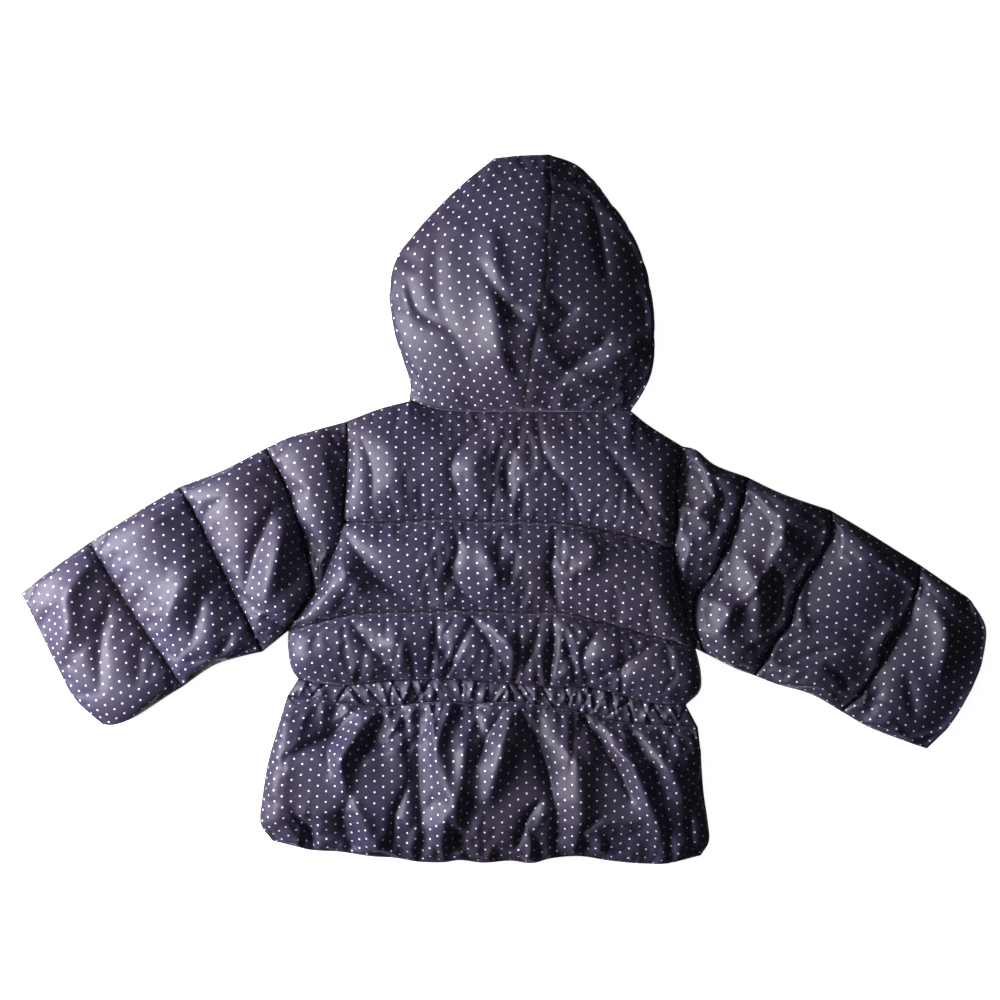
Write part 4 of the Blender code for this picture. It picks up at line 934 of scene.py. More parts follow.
backSkirt = {
    "columns": 208, "rows": 78, "puff": 16.0, "topRounding": 34.0, "hemRounding": 24.0, "sideRounding": 22.0,
    "lowest": 1.0, "foldStrength": 1.8, "crowding": 0.4, "fill": 0.6,
    "seeds": {"crinkle": 4, "top": 21, "hem": 22},
    "cloth": {"pressure": 16, "slack": 0.03, "cap": 5.0},
    "topPucker": {
        "spacing": (6, 16), "height": (-6.5, 4.6), "reach": (14, 56), "width": (2.0, 4.6), "slant": 0.4,
    },
    "hemPucker": {
        "spacing": (8, 18), "height": (-5.2, 3.4), "reach": (10, 36), "width": (2.0, 4.6), "slant": 0.5,
    },
    "crinkle": {
        "each100Square": 2.5, "heading": 90, "turn": 28,
        "length": (16, 46), "width": (2.5, 5), "height": (0.3, 1.2),
    },
}


def makeBackSkirt():
    own = backSkirt
    across = np.linspace(0, 1, own["columns"] + 1)
    down = crowdEnds(own["rows"], own["crowding"])
    plan = seamGapRound(fillPlan(
        alongLine(curveThrough(casingLower), across), alongLine(curveThrough(hem), across),
        alongLine(curveThrough(skirtSideLeft), down), alongLine(curveThrough(skirtSideRight), down),
        across, down,
    ))
    fromTop, fromHem = nearest(plan, plan[0])[0], nearest(plan, plan[-1])[0]
    rise = roundEdge(fromTop, own["topRounding"]) * roundEdge(fromHem, own["hemRounding"])
    edge = roundEdge(sideDistance(plan), own["sideRounding"])
    points = withHeight(plan, backFloor + coat["seamWall"] + edge * own["puff"] * rise)
    points = swell(points, own["cloth"])
    soft = np.clip(np.minimum(fromTop / 6, fromHem / 6), 0.12, 1) * np.clip(edge * 1.2, 0, 1)
    points[..., 2] += soft * own["foldStrength"] * foldHeights(plan, skirtFolds)
    points[..., 2] += soft * crinkleHeights(plan, own["crinkle"], own["seeds"]["crinkle"])
    points[..., 2] += edge * puckerHeights(plan, plan[0], own["topPucker"], own["seeds"]["top"])
    points[..., 2] += edge * puckerHeights(plan, plan[-1], own["hemPucker"], own["seeds"]["hem"])
    points[..., 2] = np.maximum(points[..., 2], backFloor + own["lowest"])
    paddedPanel("backSkirt", points, backFloor, "back_skirt", own["fill"])


# Sleeves: lines across from the shoulder side to the underarm side, and the edges between them
sleeveLeftLines = (
    ((-190.0, 48.8), (-171.6, 10.0), (-159.6, -29.2), (-154.6, -64.0), (-166.0, -84.0), (-180.0, -104.0)),
    ((-259.6, 17.6), (-242.8, -13.2), (-225.2, -49.2), (-207.6, -84.4), (-193.2, -114.8)),
    ((-331.6, -26.8), (-305.5, -70.0), (-287.6, -97.2), (-271.6, -120.4), (-257.2, -142.8)),
    ((-386.0, -67.6), (-375.2, -89.2), (-357.2, -126.0), (-342.8, -152.4), (-320.4, -173.2)),
)
sleeveLeftTop = (
    ((-125.2, 70.0), (-154.8, 62.0), (-171.6, 57.2), (-190.0, 48.8)),
    ((-190.0, 48.8), (-225.2, 30.8), (-259.6, 17.6)),
    ((-259.6, 17.6), (-287.6, 1.2), (-331.6, -26.8)),
    ((-331.6, -26.8), (-359.6, -46.8), (-386.0, -67.6)),
)
sleeveLeftUnder = (
    ((-172.4, -98.0), (-180.0, -104.0)),
    ((-180.0, -104.0), (-193.2, -114.8)),
    ((-193.2, -114.8), (-216.4, -120.4), (-234.0, -126.8), (-257.2, -142.8)),
    ((-257.2, -142.8), (-270.0, -150.8), (-294.8, -166.8), (-310.8, -173.0), (-320.4, -173.2)),
)
sleeveRightLines = (
    ((195.6, 25.2), (188.4, 2.0), (177.2, -29.2), (166.0, -54.8),
     (155.0, -72.0), (153.6, -92.0), (162.0, -116.4)),
    ((262.0, -1.2), (261.2, -19.6), (252.4, -38.0), (238.0, -63.6),
     (228.4, -89.2), (217.2, -106.0), (201.2, -134.0)),
    ((334.0, -45.2), (329.2, -62.0), (320.4, -84.4), (307.6, -107.6),
     (296.4, -128.4), (283.6, -148.4), (270.8, -162.8)),
    ((374.0, -73.2), (386.0, -96.0), (381.2, -122.8), (371.6, -146.8), (357.2, -172.4), (338.8, -192.4)),
)
sleeveRightTop = (
    ((142.8, 50.0), (154.8, 46.8), (170.0, 34.8), (195.6, 25.2)),
    ((195.6, 25.2), (218.8, 14.0), (238.0, 6.8), (262.0, -1.2)),
    ((262.0, -1.2), (289.2, -17.2), (314.8, -33.2), (334.0, -45.2)),
    ((334.0, -45.2), (357.2, -61.2), (374.0, -73.2)),
)
sleeveRightUnder = (
    ((154.0, -112.4), (162.0, -116.4)),
    ((162.0, -116.4), (185.2, -128.0), (201.2, -134.0)),
    ((201.2, -134.0), (219.6, -141.2), (246.8, -149.2), (270.8, -162.8)),
    ((270.8, -162.8), (293.2, -175.6), (324.4, -187.6), (338.8, -192.4)),
)

# Hood: the crown seam from the neck to the top edge, the outline of each side and the edge round the face
crownSeam = (
    (15.6, 77.6), (21.2, 118.0), (28.4, 151.6), (33.2, 183.6), (34.4, 200.4), (34.4, 213.2),
    (36.8, 234.8), (37.0, 250.8), (35.8, 264.4), (36.4, 282.8),
)
hoodSideLeft = (
    (-75.6, 86.0), (-74.8, 100.4), (-80.4, 118.8), (-87.6, 142.8), (-90.8, 173.2), (-85.2, 198.8),
    (-68.4, 222.8), (-46.0, 246.8), (-26.0, 264.8), (-6.8, 280.0),
)
hoodSideRight = (
    (102.0, 78.0), (111.6, 94.0), (118.0, 110.0), (120.0, 130.8), (118.8, 158.8), (112.4, 190.8),
    (100.4, 221.2), (83.6, 246.8), (71.6, 262.8),
)
hoodTopLeft = ((-6.8, 280.0), (13.2, 282.0), (36.4, 282.8))
hoodTopRight = ((71.6, 262.8), (57.2, 274.8), (36.4, 282.8))
faceLeft = (
    (12.4, 55.6), (-16.0, 100.0), (-30.0, 142.8), (-27.0, 190.0), (-14.0, 225.0), (6.0, 246.0), (36.4, 255.0),
)
faceRight = (
    (20.4, 55.6), (56.0, 98.0), (80.0, 142.8), (83.0, 190.0), (75.0, 222.0), (58.0, 245.0), (36.4, 255.0),
)

sleeveLeftFolds = (
    (5, 7, ((-171, -6), (-180, -38), (-191, -73))),
    (-5.5, 6, ((-183, 0), (-198, -35), (-205, -63))),
    (-3, 4.5, ((-157, -45), (-168, -56), (-179, -63))),
    (-3, 4.5, ((-193, -83), (-182, -89), (-173, -93))),
    (4.5, 8, ((-234, -42), (-259, -68), (-268, -99))),
    (-3.5, 5.5, ((-240, -73), (-247, -103))),
    (-2.5, 4.5, ((-254, -121), (-234, -118))),
    (-3, 4.5, ((-216, -99), (-228, -117))),
    (4.5, 7, ((-329, -45), (-344, -69), (-344, -93), (-353, -120))),
    (-4, 6, ((-313, -72), (-320, -109), (-320, -140))),
    (-2.5, 5, ((-289, -113), (-291, -137))),
)
sleeveRightFolds = (
    (-3.5, 6, ((168, 24), (175, 7), (167, -21))),
    (4.5, 7, ((190, -40), (203, -69), (204, -97))),
    (3.5, 6, ((221, -20), (234, -40))),
    (3.5, 6, ((177, -69), (180, -93))),
    (-4, 6, ((213, -41), (220, -65), (215, -91))),
    (-3.5, 6, ((223, -125), (241, -118), (265, -112))),
    (-3.5, 6, ((233, -97), (256, -93), (292, -100))),
    (-2.5, 4.5, ((265, -131), (275, -145))),
    (-3, 5, ((327, -76), (321, -97))),
    (4.5, 7, ((345, -83), (351, -103), (346, -132))),
    (-3, 5, ((300, -145), (290, -163))),
    (-3, 5, ((321, -131), (327, -165))),
)
hoodLeftFolds = (
    (-5, 6, ((-14, 189), (-8, 177), (-1, 165), (4, 156), (13, 150), (21, 147))),
    (-1.8, 9, ((-51, 216), (-52, 196), (-50, 163), (-42, 146), (-31, 124), (-16, 90))),
    (-2.5, 6, ((-74, 178), (-66, 157), (-44, 143))),
    (4, 8, ((-9, 213), (-5, 163), (-5, 135), (3, 107), (8, 87))),
    (-3, 5, ((4, 124), (10, 112), (16, 101))),
    (-2.5, 4.5, ((-67, 103), (-56, 93), (-44, 85))),
    (-2.5, 3.5, ((8, 158), (12, 163), (20, 165), (30, 164))),
)
hoodRightFolds = (
    (-5, 7, ((81, 135), (76, 128), (60, 116), (47, 104), (34, 93), (25, 84))),
    (4.5, 9, ((103, 127), (84, 111), (63, 96), (47, 87))),
    (-3, 5, ((57, 157), (47, 146), (37, 136))),
    (-2.5, 3.5, ((34, 165), (42, 162), (49, 158), (56, 157))),
    (-3, 6, ((69, 243), (77, 215), (82, 183))),
)
halves = {
    "Left": {
        "side": -1, "neckFront": neckFrontLeft, "shoulder": shoulderLeft,
        "armhole": (armholeLeftUpper, armholeLeftLower), "sideSeam": sideLeft,
        "casingSide": casingSideLeft, "casingAtZip": -139.0, "skirtSide": skirtSideLeft,
        "sleeveLines": sleeveLeftLines,
        "sleeveTop": sleeveLeftTop, "sleeveUnder": sleeveLeftUnder, "sleeveFolds": sleeveLeftFolds,
        "hoodOutline": hoodSideLeft, "hoodTop": hoodTopLeft, "face": faceLeft, "hoodFolds": hoodLeftFolds,
    },
    "Right": {
        "side": 1, "neckFront": neckFrontRight, "shoulder": shoulderRight[::-1],
        "armhole": (armholeRightUpper, armholeRightLower), "sideSeam": sideRight,
        "casingSide": casingSideRight, "casingAtZip": -141.0, "skirtSide": skirtSideRight,
        "sleeveLines": sleeveRightLines,
        "sleeveTop": sleeveRightTop, "sleeveUnder": sleeveRightUnder, "sleeveFolds": sleeveRightFolds,
        "hoodOutline": hoodSideRight, "hoodTop": hoodTopRight, "face": faceRight, "hoodFolds": hoodRightFolds,
    },
}


# front of the coat, which lies on the floor: flat, with shallow quilting and creases
front = {
    "columns": 56, "restRounding": 20.0, "casingRest": 6.0, "zipEdge": 7.0, "zipEdgeLevel": 9.0,
    "zipEdgeRounding": 9.0, "groove": 1.5, "grooveWidth": 2.6, "quiltAtZip": (-12.0, -85.0),
    "rows": {"bodice": (30, 28, 16), "waist": (10,), "skirt": (44,)},
    "seeds": {"bodice": 41, "waist": 51, "skirt": 61},
    "crowding": (0.45, 0.3), "fill": 0.5,
    "pucker": {"spacing": (5, 11), "height": (0.2, 0.9), "reach": (5, 13), "width": (1.4, 2.6), "slant": 0.5},
    "gather": {"spacing": (4, 10), "height": (0.5, 2.2), "reach": (6, 20), "width": (1.5, 3.0), "slant": 0.4},
}


def zipPoint(y, offset):
    # a point beside the zip line at a height y up the coat
    top, foot = np.array(zipTop), np.array(zipFoot)
    run = (top - foot) / np.linalg.norm(top - foot)
    point = foot + (top - foot) * (y - foot[1]) / (top[1] - foot[1])
    return point + offset * np.array([run[1], -run[0]])


def frontLine(line, side, atZip):
    # the part of a line on one side of the zip, from the side seam to the edge at the zip
    dense = curveThrough(line)
    if side > 0:
        dense = dense[::-1]
    kept = dense[(dense[:, 0] - atZip[0]) * side > zipClear]
    return np.vstack([kept, atZip])


def makeFrontPanel(word, part, upper, lower, edges, rest=0.0, quilts=()):
    counts, seed = front["rows"][part], front["seeds"][part]
    crowdAcross, crowdDown = front["crowding"]
    across = crowdEnds(front["columns"], crowdAcross)
    side = [alongLine(edge, crowdEnds(count, crowdDown))[:-1] for edge, count in zip(edges, counts)]
    side = np.vstack(side + [edges[-1][-1:]])
    down = lengthShares(side)
    centre = alongLine(np.array([upper[-1], lower[-1]]), down)
    first, last = alongLine(upper, across), alongLine(lower, across)
    plan = seamGapRound(fillPlan(first, last, side, centre, across, down))
    fromSeam = np.minimum.reduce([nearest(plan, line)[0] for line in (plan[0], plan[-1], plan[:, 0])])
    seamLevel = frontTop - coat["seamWall"]
    fall = rest + (seamLevel - rest) * (1 - roundEdge(fromSeam, front["restRounding"]))
    atZip = roundEdge(nearest(plan, plan[:, -1])[0], front["zipEdgeRounding"])
    level = np.maximum(fall, rest + (front["zipEdgeLevel"] - rest) * (1 - atZip))
    for index, quilt in enumerate(quilts):
        away = nearest(plan, quilt)[0]
        level = level + front["groove"] * np.exp(-np.abs(away / front["grooveWidth"]) ** 1.3)
        level = level + puckerHeights(plan, quilt, front["pucker"], seed + index)
    for index, row in enumerate((0, -1)):
        level = level + puckerHeights(plan, plan[row], front["gather"], seed + 7 + index)
    points = withHeight(plan, np.clip(level, rest * 0.6, seamLevel))
    stitched = [onSurface(points, quilt) for quilt in quilts]
    for row in stitched:
        noteStitches(row, -1)
    node = f"front_{part}_{word.lower()}"
    paddedPanel(f"front{part.title()}{word}", points, frontTop, node, front["fill"], stitched)


def onSurface(points, line, step=1.5):
    # the line's points brought to the height of the nearest surface points
    path = alongLine(line, np.linspace(0.02, 0.98, int(lineLength(line) / step)))
    flat = points.reshape(-1, 3)
    near = [flat[np.argmin(np.sum((flat[:, :2] - spot) ** 2, axis=1)), 2] for spot in path]
    return withHeight(path, np.array(near))


def makeFrontHalf(word):
    half = halves[word]
    side = half["side"]
    heights = (zipTop[1], half["casingAtZip"], casingLowerAtZip, zipFoot[1])
    topAt, upperAt, lowerAt, footAt = (zipPoint(y, side * front["zipEdge"]) for y in heights)
    neck = curveThrough(half["neckFront"])
    neck = neck[(neck[:, 0] - topAt[0]) * side > zipClear]
    top = np.vstack([curveThrough(half["shoulder"])[:-1], neck, topAt])
    upper = frontLine(casingUpper, side, upperAt)
    lower = frontLine(casingLower, side, lowerAt)
    bottom = frontLine(hem, side, footAt)
    bodiceEdges = [curveThrough(line) for line in (*half["armhole"], half["sideSeam"])]
    quilts = [
        np.array([edge[-1], zipPoint(y, side * front["zipEdge"])])
        for edge, y in zip(bodiceEdges, front["quiltAtZip"])
    ]
    makeFrontPanel(word, "bodice", top, upper, bodiceEdges, quilts=quilts)
    makeFrontPanel(word, "waist", upper, lower, [np.array(half["casingSide"])], front["casingRest"])
    makeFrontPanel(word, "skirt", lower, bottom, [curveThrough(half["skirtSide"])])


# sleeves: padded tubes, flattened
sleeve = {
    "columns": 56, "rows": (30, 30, 34, 27), "puffs": (12.5, 12.5, 15.0, 15.0, 12.0, 10.5), "arch": 0.65,
    "levels": (0.0, 2.8, 3.0, 3.0, 1.8),  # the armhole, three quilting lines and the cuff
    "fullWidth": 48.0, "sideRounding": 22.0, "restRounding": 20.0, "lowest": 1.5, "foldStrength": 1.9,
    "wall": 2.6, "mouth": 1.7, "liningEvery": 4, "dotEase": (0.97, 1.0), "dotTilt": 3.0,
    "crowding": 0.5, "fill": 0.55, "seeds": {"Left": 70, "Right": 90},
    "cloth": {"pressure": 20, "slack": 0.028, "cap": 4.0},
    "pucker": {
        "spacing": (6, 14), "height": (-0.8, 1.2), "reach": (6, 15), "width": (1.6, 3.0), "slant": 0.5,
    },
    "cuffPucker": {
        "spacing": (6, 12), "height": (-1.0, 1.2), "reach": (5, 12), "width": (1.8, 3.2), "slant": 0.4,
    },
    "crinkle": {
        "each100Square": 2, "heading": 75, "turn": 35,
        "length": (14, 40), "width": (2.5, 5), "height": (0.3, 1.0),
    },
    "groove": 1.6, "grooveWidth": 2.8, "trough": {"depth": 3.2, "width": 1.7},
}


def makeSleeve(word):
    half, own = halves[word], sleeve
    gap, middle = coat["layerGap"], coat["parting"]
    across = crowdEnds(own["columns"], own["crowding"])
    armhole = half["armhole"]
    lines = (armhole[0] + armhole[1][1:], *half["sleeveLines"])
    rows = [alongLine(curveThrough(line), across) for line in lines]
    plan, place, width = quiltPlan(rows, half["sleeveTop"], half["sleeveUnder"], across, own["rows"])
    plan = seamGapRound(plan, coat["armholeGap"])
    arch = np.abs(np.sin(np.pi * place))
    edge = roundEdge(sideDistance(plan), own["sideRounding"])
    puff = np.interp(place, (0, 0.5, 1.5, 2.5, 3.5, 4), own["puffs"]) * arch ** own["arch"]
    raised = np.interp(place, (0, 1, 2, 3, 4), own["levels"])
    body = raised[:, None] + puff[:, None] * np.minimum(1, width / own["fullWidth"])
    quilts = [np.argmin(np.abs(place - quilt)) for quilt in (1, 2, 3)]
    upper = withHeight(plan, middle + gap + coat["seamWall"] + edge * body)
    upper = swell(upper, own["cloth"], quilts)
    soft = freeShare(arch, edge)
    seed = own["seeds"][word]
    upper[..., 2] += soft * own["foldStrength"] * foldHeights(plan, half["sleeveFolds"])
    upper[..., 2] += soft * crinkleHeights(plan, own["crinkle"], seed)
    end = np.minimum(nearest(plan, plan[0])[0], nearest(plan, plan[-1])[0])
    under = (middle - gap - coat["seamWall"]) * (1 - edge * roundEdge(end, own["restRounding"]))
    kinds = [own["pucker"]] * 4 + [own["cuffPucker"]]
    for ridges in ridgesBeside(plan, place, rows, kinds, seed):
        upper[..., 2] += edge * ridges
        under = under + 0.6 * edge * np.maximum(ridges, 0)
    for line in rows[1:4]:
        upper[..., 2] += stitchTrough(plan, line, own["trough"])
        groove = np.exp(-np.abs(nearest(plan, line)[0] / own["grooveWidth"]) ** 1.3)
        under = under + own["groove"] * edge * groove
    upper[..., 2] = np.maximum(upper[..., 2], middle + gap + own["lowest"])
    lower = withHeight(plan, np.clip(under, 0, middle - gap - own["lowest"]))
    for row in quilts:
        noteStitches(upper[row])
        noteStitches(lower[row], -1)
    made = outerCloth("sleeve" + word, np.concatenate([upper, lower[:, ::-1], upper[:, :1]], axis=1))
    # painted shade along the armhole and quilting rows of both layers
    paintSeamShade(made, [*upper[[0, *quilts]], *lower[[0, *quilts]]])
    # the map opens along the underarm
    under = nearestIndices(made, lower[:, -1] * mm)
    seam = {frozenset(pair) for pair in zip(under, under[1:])}
    layDots(made, 1, own["dotEase"], own["dotTilt"] * half["side"], seam)
    smoothOnce(made)
    addSleeveLining(made, plan, across, own)
    finishPiece(made, ["sleeve_" + word.lower()], own["fill"])


def nearestIndices(made, places):
    # the vertex that lies at each place
    at = readAll(made.data.vertices, "co", 3)
    return [int(np.argmin(np.sum((at - place) ** 2, axis=1))) for place in places]


def addSleeveLining(made, plan, across, own):
    # plain lining inside a thin slit, joined to the outer cloth at the armhole and the cuff
    inner = plan.copy()
    setBorder(inner, movedIn(borderOf(plan), own["wall"]))
    for row in (0, -1):
        inset = own["wall"] / np.linalg.norm(plan[row, -1] - plan[row, 0])
        inner[row] = alongLine(plan[row], inset + (1 - 2 * inset) * across)
    last = len(plan) - 1
    inner = inner[np.unique(np.append(np.arange(0, last + 1, own["liningEvery"]), last))]
    slit = np.full(inner.shape[:-1], coat["layerGap"])
    slit[-1] += own["mouth"] * np.sin(np.pi * np.clip(across, 0, 1)) ** 0.5
    layers = withHeight(inner, coat["parting"] + slit), withHeight(inner, coat["parting"] - slit)[:, ::-1]
    lining = np.concatenate([*layers, layers[0][:, :1]], axis=1)

    def joinEnds(bm, rim, outerVerts):
        for line in (plan[0], plan[-1]):
            bmesh.ops.bridge_loops(bm, edges=[side for side in rim if nearEnd(side, line)])

    joinLining(made, [lining], joinEnds)


def nearEnd(side, line):
    middle = np.array((side.verts[0].co + side.verts[1].co) / 2)[:2] / mm
    return nearest(middle[None], line)[0][0] < 6


# hood: two padded walls joined over the crown and turned under round the face
hood = {
    "columns": 44, "steps": 84, "turn": (0, 11, 22, 34, 45, 57, 68, 79, 90), "beyond": (0.2, 0.45, 0.72, 1.0),
    "rise": 34.0, "riseOver": 90.0, "roundShare": 0.72, "edgeLevel": 25.0, "wall": 8.0, "leastPadding": 2.2,
    "openFrom": 86.5, "openOver": 56.0, "turnRadius": 20.0, "middle": (25.0, 165.0), "foldStrength": 2.0,
    "crownGroove": {"depth": 1.3, "width": 2.2}, "dotEase": (1.0, 0.93),
    "crowding": 0.4, "fill": 0.5, "seeds": {"Left": 110, "Right": 130},
    "cloth": {"pressure": 10, "slack": 0.015, "cap": 3.0},
    "neckPucker": {
        "spacing": (8, 16), "height": (-1.4, 1.5), "reach": (8, 22), "width": (2.0, 4.0), "slant": 0.5,
    },
    "crownPucker": {
        "spacing": (10, 22), "height": (-0.9, 0.9), "reach": (6, 14), "width": (1.8, 3.4), "slant": 0.5,
    },
    "crinkle": {
        "each100Square": 2, "heading": 115, "turn": 30,
        "length": (16, 44), "width": (3, 6), "height": (0.3, 1.1),
    },
}


def hoodOpened(plan):
    # how far the hood has opened, from 0 at the neck seam to 1
    return softStep((plan[..., 1] - hood["openFrom"]) / hood["openOver"])


def hoodEdgeLevel(plan):
    return coat["parting"] + (hood["edgeLevel"] - coat["parting"]) * hoodOpened(plan)


def hoodRestLevel(plan):
    return (coat["parting"] - coat["layerGap"] / 2 - coat["seamWall"]) * (1 - hoodOpened(plan))


def hoodWall(plan):
    return coat["seamWall"] + (hood["wall"] - coat["seamWall"]) * hoodOpened(plan)


def rimRows(edges, corners):
    # walks a layer's open rim from corner to corner
    beside = {}
    for edge in edges:
        for vert in edge.verts:
            beside.setdefault(vert, []).append(edge.other_vert(vert))
    stops = [min(beside, key=lambda vert: (vert.co - Vector(corner) * mm).length) for corner in corners]
    rows = []
    for start, end in ((0, 1), (1, 2), (2, 0)):
        for ahead in beside[stops[start]]:
            row = [stops[start], ahead]
            while row[-1] not in stops and len(row) <= len(beside):
                row.append(next(vert for vert in beside[row[-1]] if vert != row[-2]))
            if row[-1] == stops[end]:
                rows.append(row)
    return rows


def zipTogether(bm, one, other):
    # faces between two rows of vertices, stepping along whichever row lags
    shares = [lengthShares(np.array([vert.co for vert in row])) for row in (one, other)]
    first = second = 0
    while first + 1 < len(one) or second + 1 < len(other):
        lags = second + 1 == len(other) or (
            first + 1 < len(one) and shares[0][first + 1] <= shares[1][second + 1]
        )
        ahead = one[first + 1] if lags else other[second + 1]
        bm.faces.new((one[first], ahead, other[second])).smooth = True
        first, second = first + lags, second + (not lags)


def makeHoodHalf(word):
    half, own = halves[word], hood
    side = half["side"]
    centre = np.array(crownSeam[0])
    neck = curveThrough(neckBack)
    neck = neck[(neck[:, 0] - centre[0]) * side > 0]
    neck = np.vstack([centre, neck[::side]])
    outward = np.sin(np.linspace(0, np.pi / 2, own["columns"] + 1))
    up = crowdEnds(own["steps"], own["crowding"])
    shift = np.array([side * coat["seamGap"] / 2, 0.0])
    lift = np.array([0.0, coat["seamGap"] / 2])

    def patch(inset):
        edge = alongLine(curveThrough(half["hoodOutline"]), up)
        crest = alongLine(curveThrough(half["hoodTop"])[::-1], outward)
        corner = edge[-1].copy()
        inward = np.array(hood["middle"]) - edge
        inward /= np.linalg.norm(inward, axis=1, keepdims=True)
        edge = edge + inward * hoodWall(edge)[:, None] * inset
        drop = np.array([0.0, -hood["wall"]]) * inset
        crest = crest + drop + (edge[-1] - corner - drop) * outward[:, None]
        low = alongLine(neck, outward)
        low = low + (edge[0] - low[-1]) * outward[:, None]
        seam = alongLine(curveThrough(crownSeam), up)
        seam = seam + drop * up[:, None] ** 4
        grid = fillPlan(low, crest, seam, edge, outward, up)
        grid += shift * (1 - outward[None, :, None])
        return grid + lift * (1 - up[:, None, None]) ** 3 * (1 + inset)

    outerPlan, innerPlan = patch(0.0), patch(1.0)
    rise = own["rise"] * roundEdge(outerPlan[..., 1] - outerPlan[0, :, 1], own["riseOver"])
    roundShare = own["roundShare"]
    across = np.sqrt(np.clip(1 - outward**2, 0, 1)) * roundShare + (1 - outward) * (1 - roundShare)
    crown = np.clip(1 - up**3.4, 0, 1) ** 0.5
    share = crown[:, None] * across[None, :]
    free = np.clip(hoodOpened(outerPlan) * 1.6, 0.15, 1) * np.clip(share * 2.2, 0, 1)
    thin = coat["layerGap"] / 2 + coat["seamWall"]
    fromCrown = nearest(outerPlan, outerPlan[:, 0])[0]
    seed = own["seeds"][word]
    creases = own["foldStrength"] * foldHeights(outerPlan, half["hoodFolds"])
    creases += crinkleHeights(outerPlan, own["crinkle"], seed)
    creases = creases * np.clip(fromCrown / 5, 0.25, 1)
    creases += puckerHeights(outerPlan, outerPlan[:, 0], own["crownPucker"], seed + 1)
    creases -= own["crownGroove"]["depth"] * np.exp(-fromCrown / own["crownGroove"]["width"])
    neckRidges = puckerHeights(outerPlan, outerPlan[0], own["neckPucker"], seed + 2)
    neckRidges *= np.clip(share * 3, 0, 1)
    outer = withHeight(outerPlan, hoodEdgeLevel(outerPlan) + (thin + rise) * share)
    outer = swell(outer, own["cloth"])
    outer[..., 2] += creases * free + neckRidges
    wall = np.minimum(hoodWall(outerPlan), coat["seamWall"] + 0.55 * rise)
    inner = withHeight(innerPlan, hoodEdgeLevel(innerPlan) + (thin + rise - wall) * share)
    inner[..., 2] = np.minimum(inner[..., 2], outer[..., 2] - own["leastPadding"] * np.clip(share * 4, 0, 1))
    outerLine = np.vstack([outer[:, -1], outer[-1, -2::-1]])
    innerLine = np.vstack([inner[:, -1], inner[-1, -2::-1]])
    shareAlong = lengthShares(outerLine[:, :2])
    faceLine = alongLine(curveThrough(half["face"]), shareAlong**0.92) + shift * shareAlong[:, None] ** 6
    faceLine[0] += lift
    breadth = np.linalg.norm(faceLine - outerLine[:, :2], axis=1)
    neckLine = curveThrough(half["neckFront"])

    def strip(foldLine, inside):
        # the part turned under, from the outline to the edge round the face
        bottom = hoodRestLevel(outerLine)
        radius = np.minimum(np.minimum(hoodEdgeLevel(outerLine) - bottom, hood["turnRadius"]), 0.5 * breadth)
        angles = np.radians(hood["turn"])
        offsets = [radius * (1 - np.cos(angle)) for angle in angles]
        offsets += [radius + (breadth - radius) * part for part in hood["beyond"]]
        downs = [np.sin(angle) for angle in angles] + [1.0] * len(hood["beyond"])
        rows = []
        for offset, down in zip(offsets, downs):
            part = (offset / breadth)[:, None]
            straight = (1 - part) * foldLine[:, :2] + part * faceLine
            first = alongLine(neckLine, part[0])[0] + lift
            firstStraight = (1 - part[0]) * outerLine[0, :2] + part[0] * faceLine[0]
            bend = (first - firstStraight)[None] * (1 - shareAlong[:, None]) ** 3
            flat = straight + bend * np.clip(part * 6, 0, 1)
            under = bottom
            if inside:
                under = np.minimum(bottom + hoodWall(flat), hoodEdgeLevel(flat) - coat["layerGap"] / 2)
            rows.append(withHeight(flat, foldLine[:, 2] - (foldLine[:, 2] - under) * down))
        return np.array(rows)

    outerStrip, innerStrip = strip(outerLine, False), strip(innerLine, True)
    made = outerCloth("hood" + word, outer, outerStrip)
    # painted shade along the neck and crown seams
    paintSeamShade(made, [outer[0], outer[:, 0]])
    layDots(made, 1, own["dotEase"])
    smoothOnce(made)

    def joinRim(bm, rim, outerVerts):
        # the rim's neck, face and crown sides, walked on both layers
        layers = []
        for outside, shell, turned in ((True, outer, outerStrip), (False, inner, innerStrip)):
            edges = [edge for edge in rim if (edge.verts[0] in outerVerts) == outside]
            layers.append(rimRows(edges, (shell[0, 0], turned[-1, 0], turned[-1, -1])))
        for one, other in zip(*layers):
            zipTogether(bm, one, other)

    joinLining(made, [inner, innerStrip], joinRim)
    finishPiece(made, ["hood_" + word.lower()], own["fill"])


makeBackBodice()
makeWaistCasing()
makeBackSkirt()
for word in halves:
    makeFrontHalf(word)
    makeSleeve(word)
    makeHoodHalf(word)


def takeMesh(made):
    mesh = made.data.copy()
    bpy.data.objects.remove(made, do_unlink=True)
    return mesh


def addCopy(bm, mesh, place):
    # one more copy of the mesh, moved by the matrix
    start = len(bm.verts)
    bm.from_mesh(mesh)
    bm.verts.ensure_lookup_table()
    for vert in bm.verts[start:]:
        vert.co = place @ vert.co


# thread in the quilting: one stitch modelled, then copied along every line
stitch = {
    "length": 2.7, "pitch": 3.5, "thick": 0.42, "sides": 6, "sag": 0.18,
    "proud": 0.35, "wobble": 0.05, "seed": 8,
}


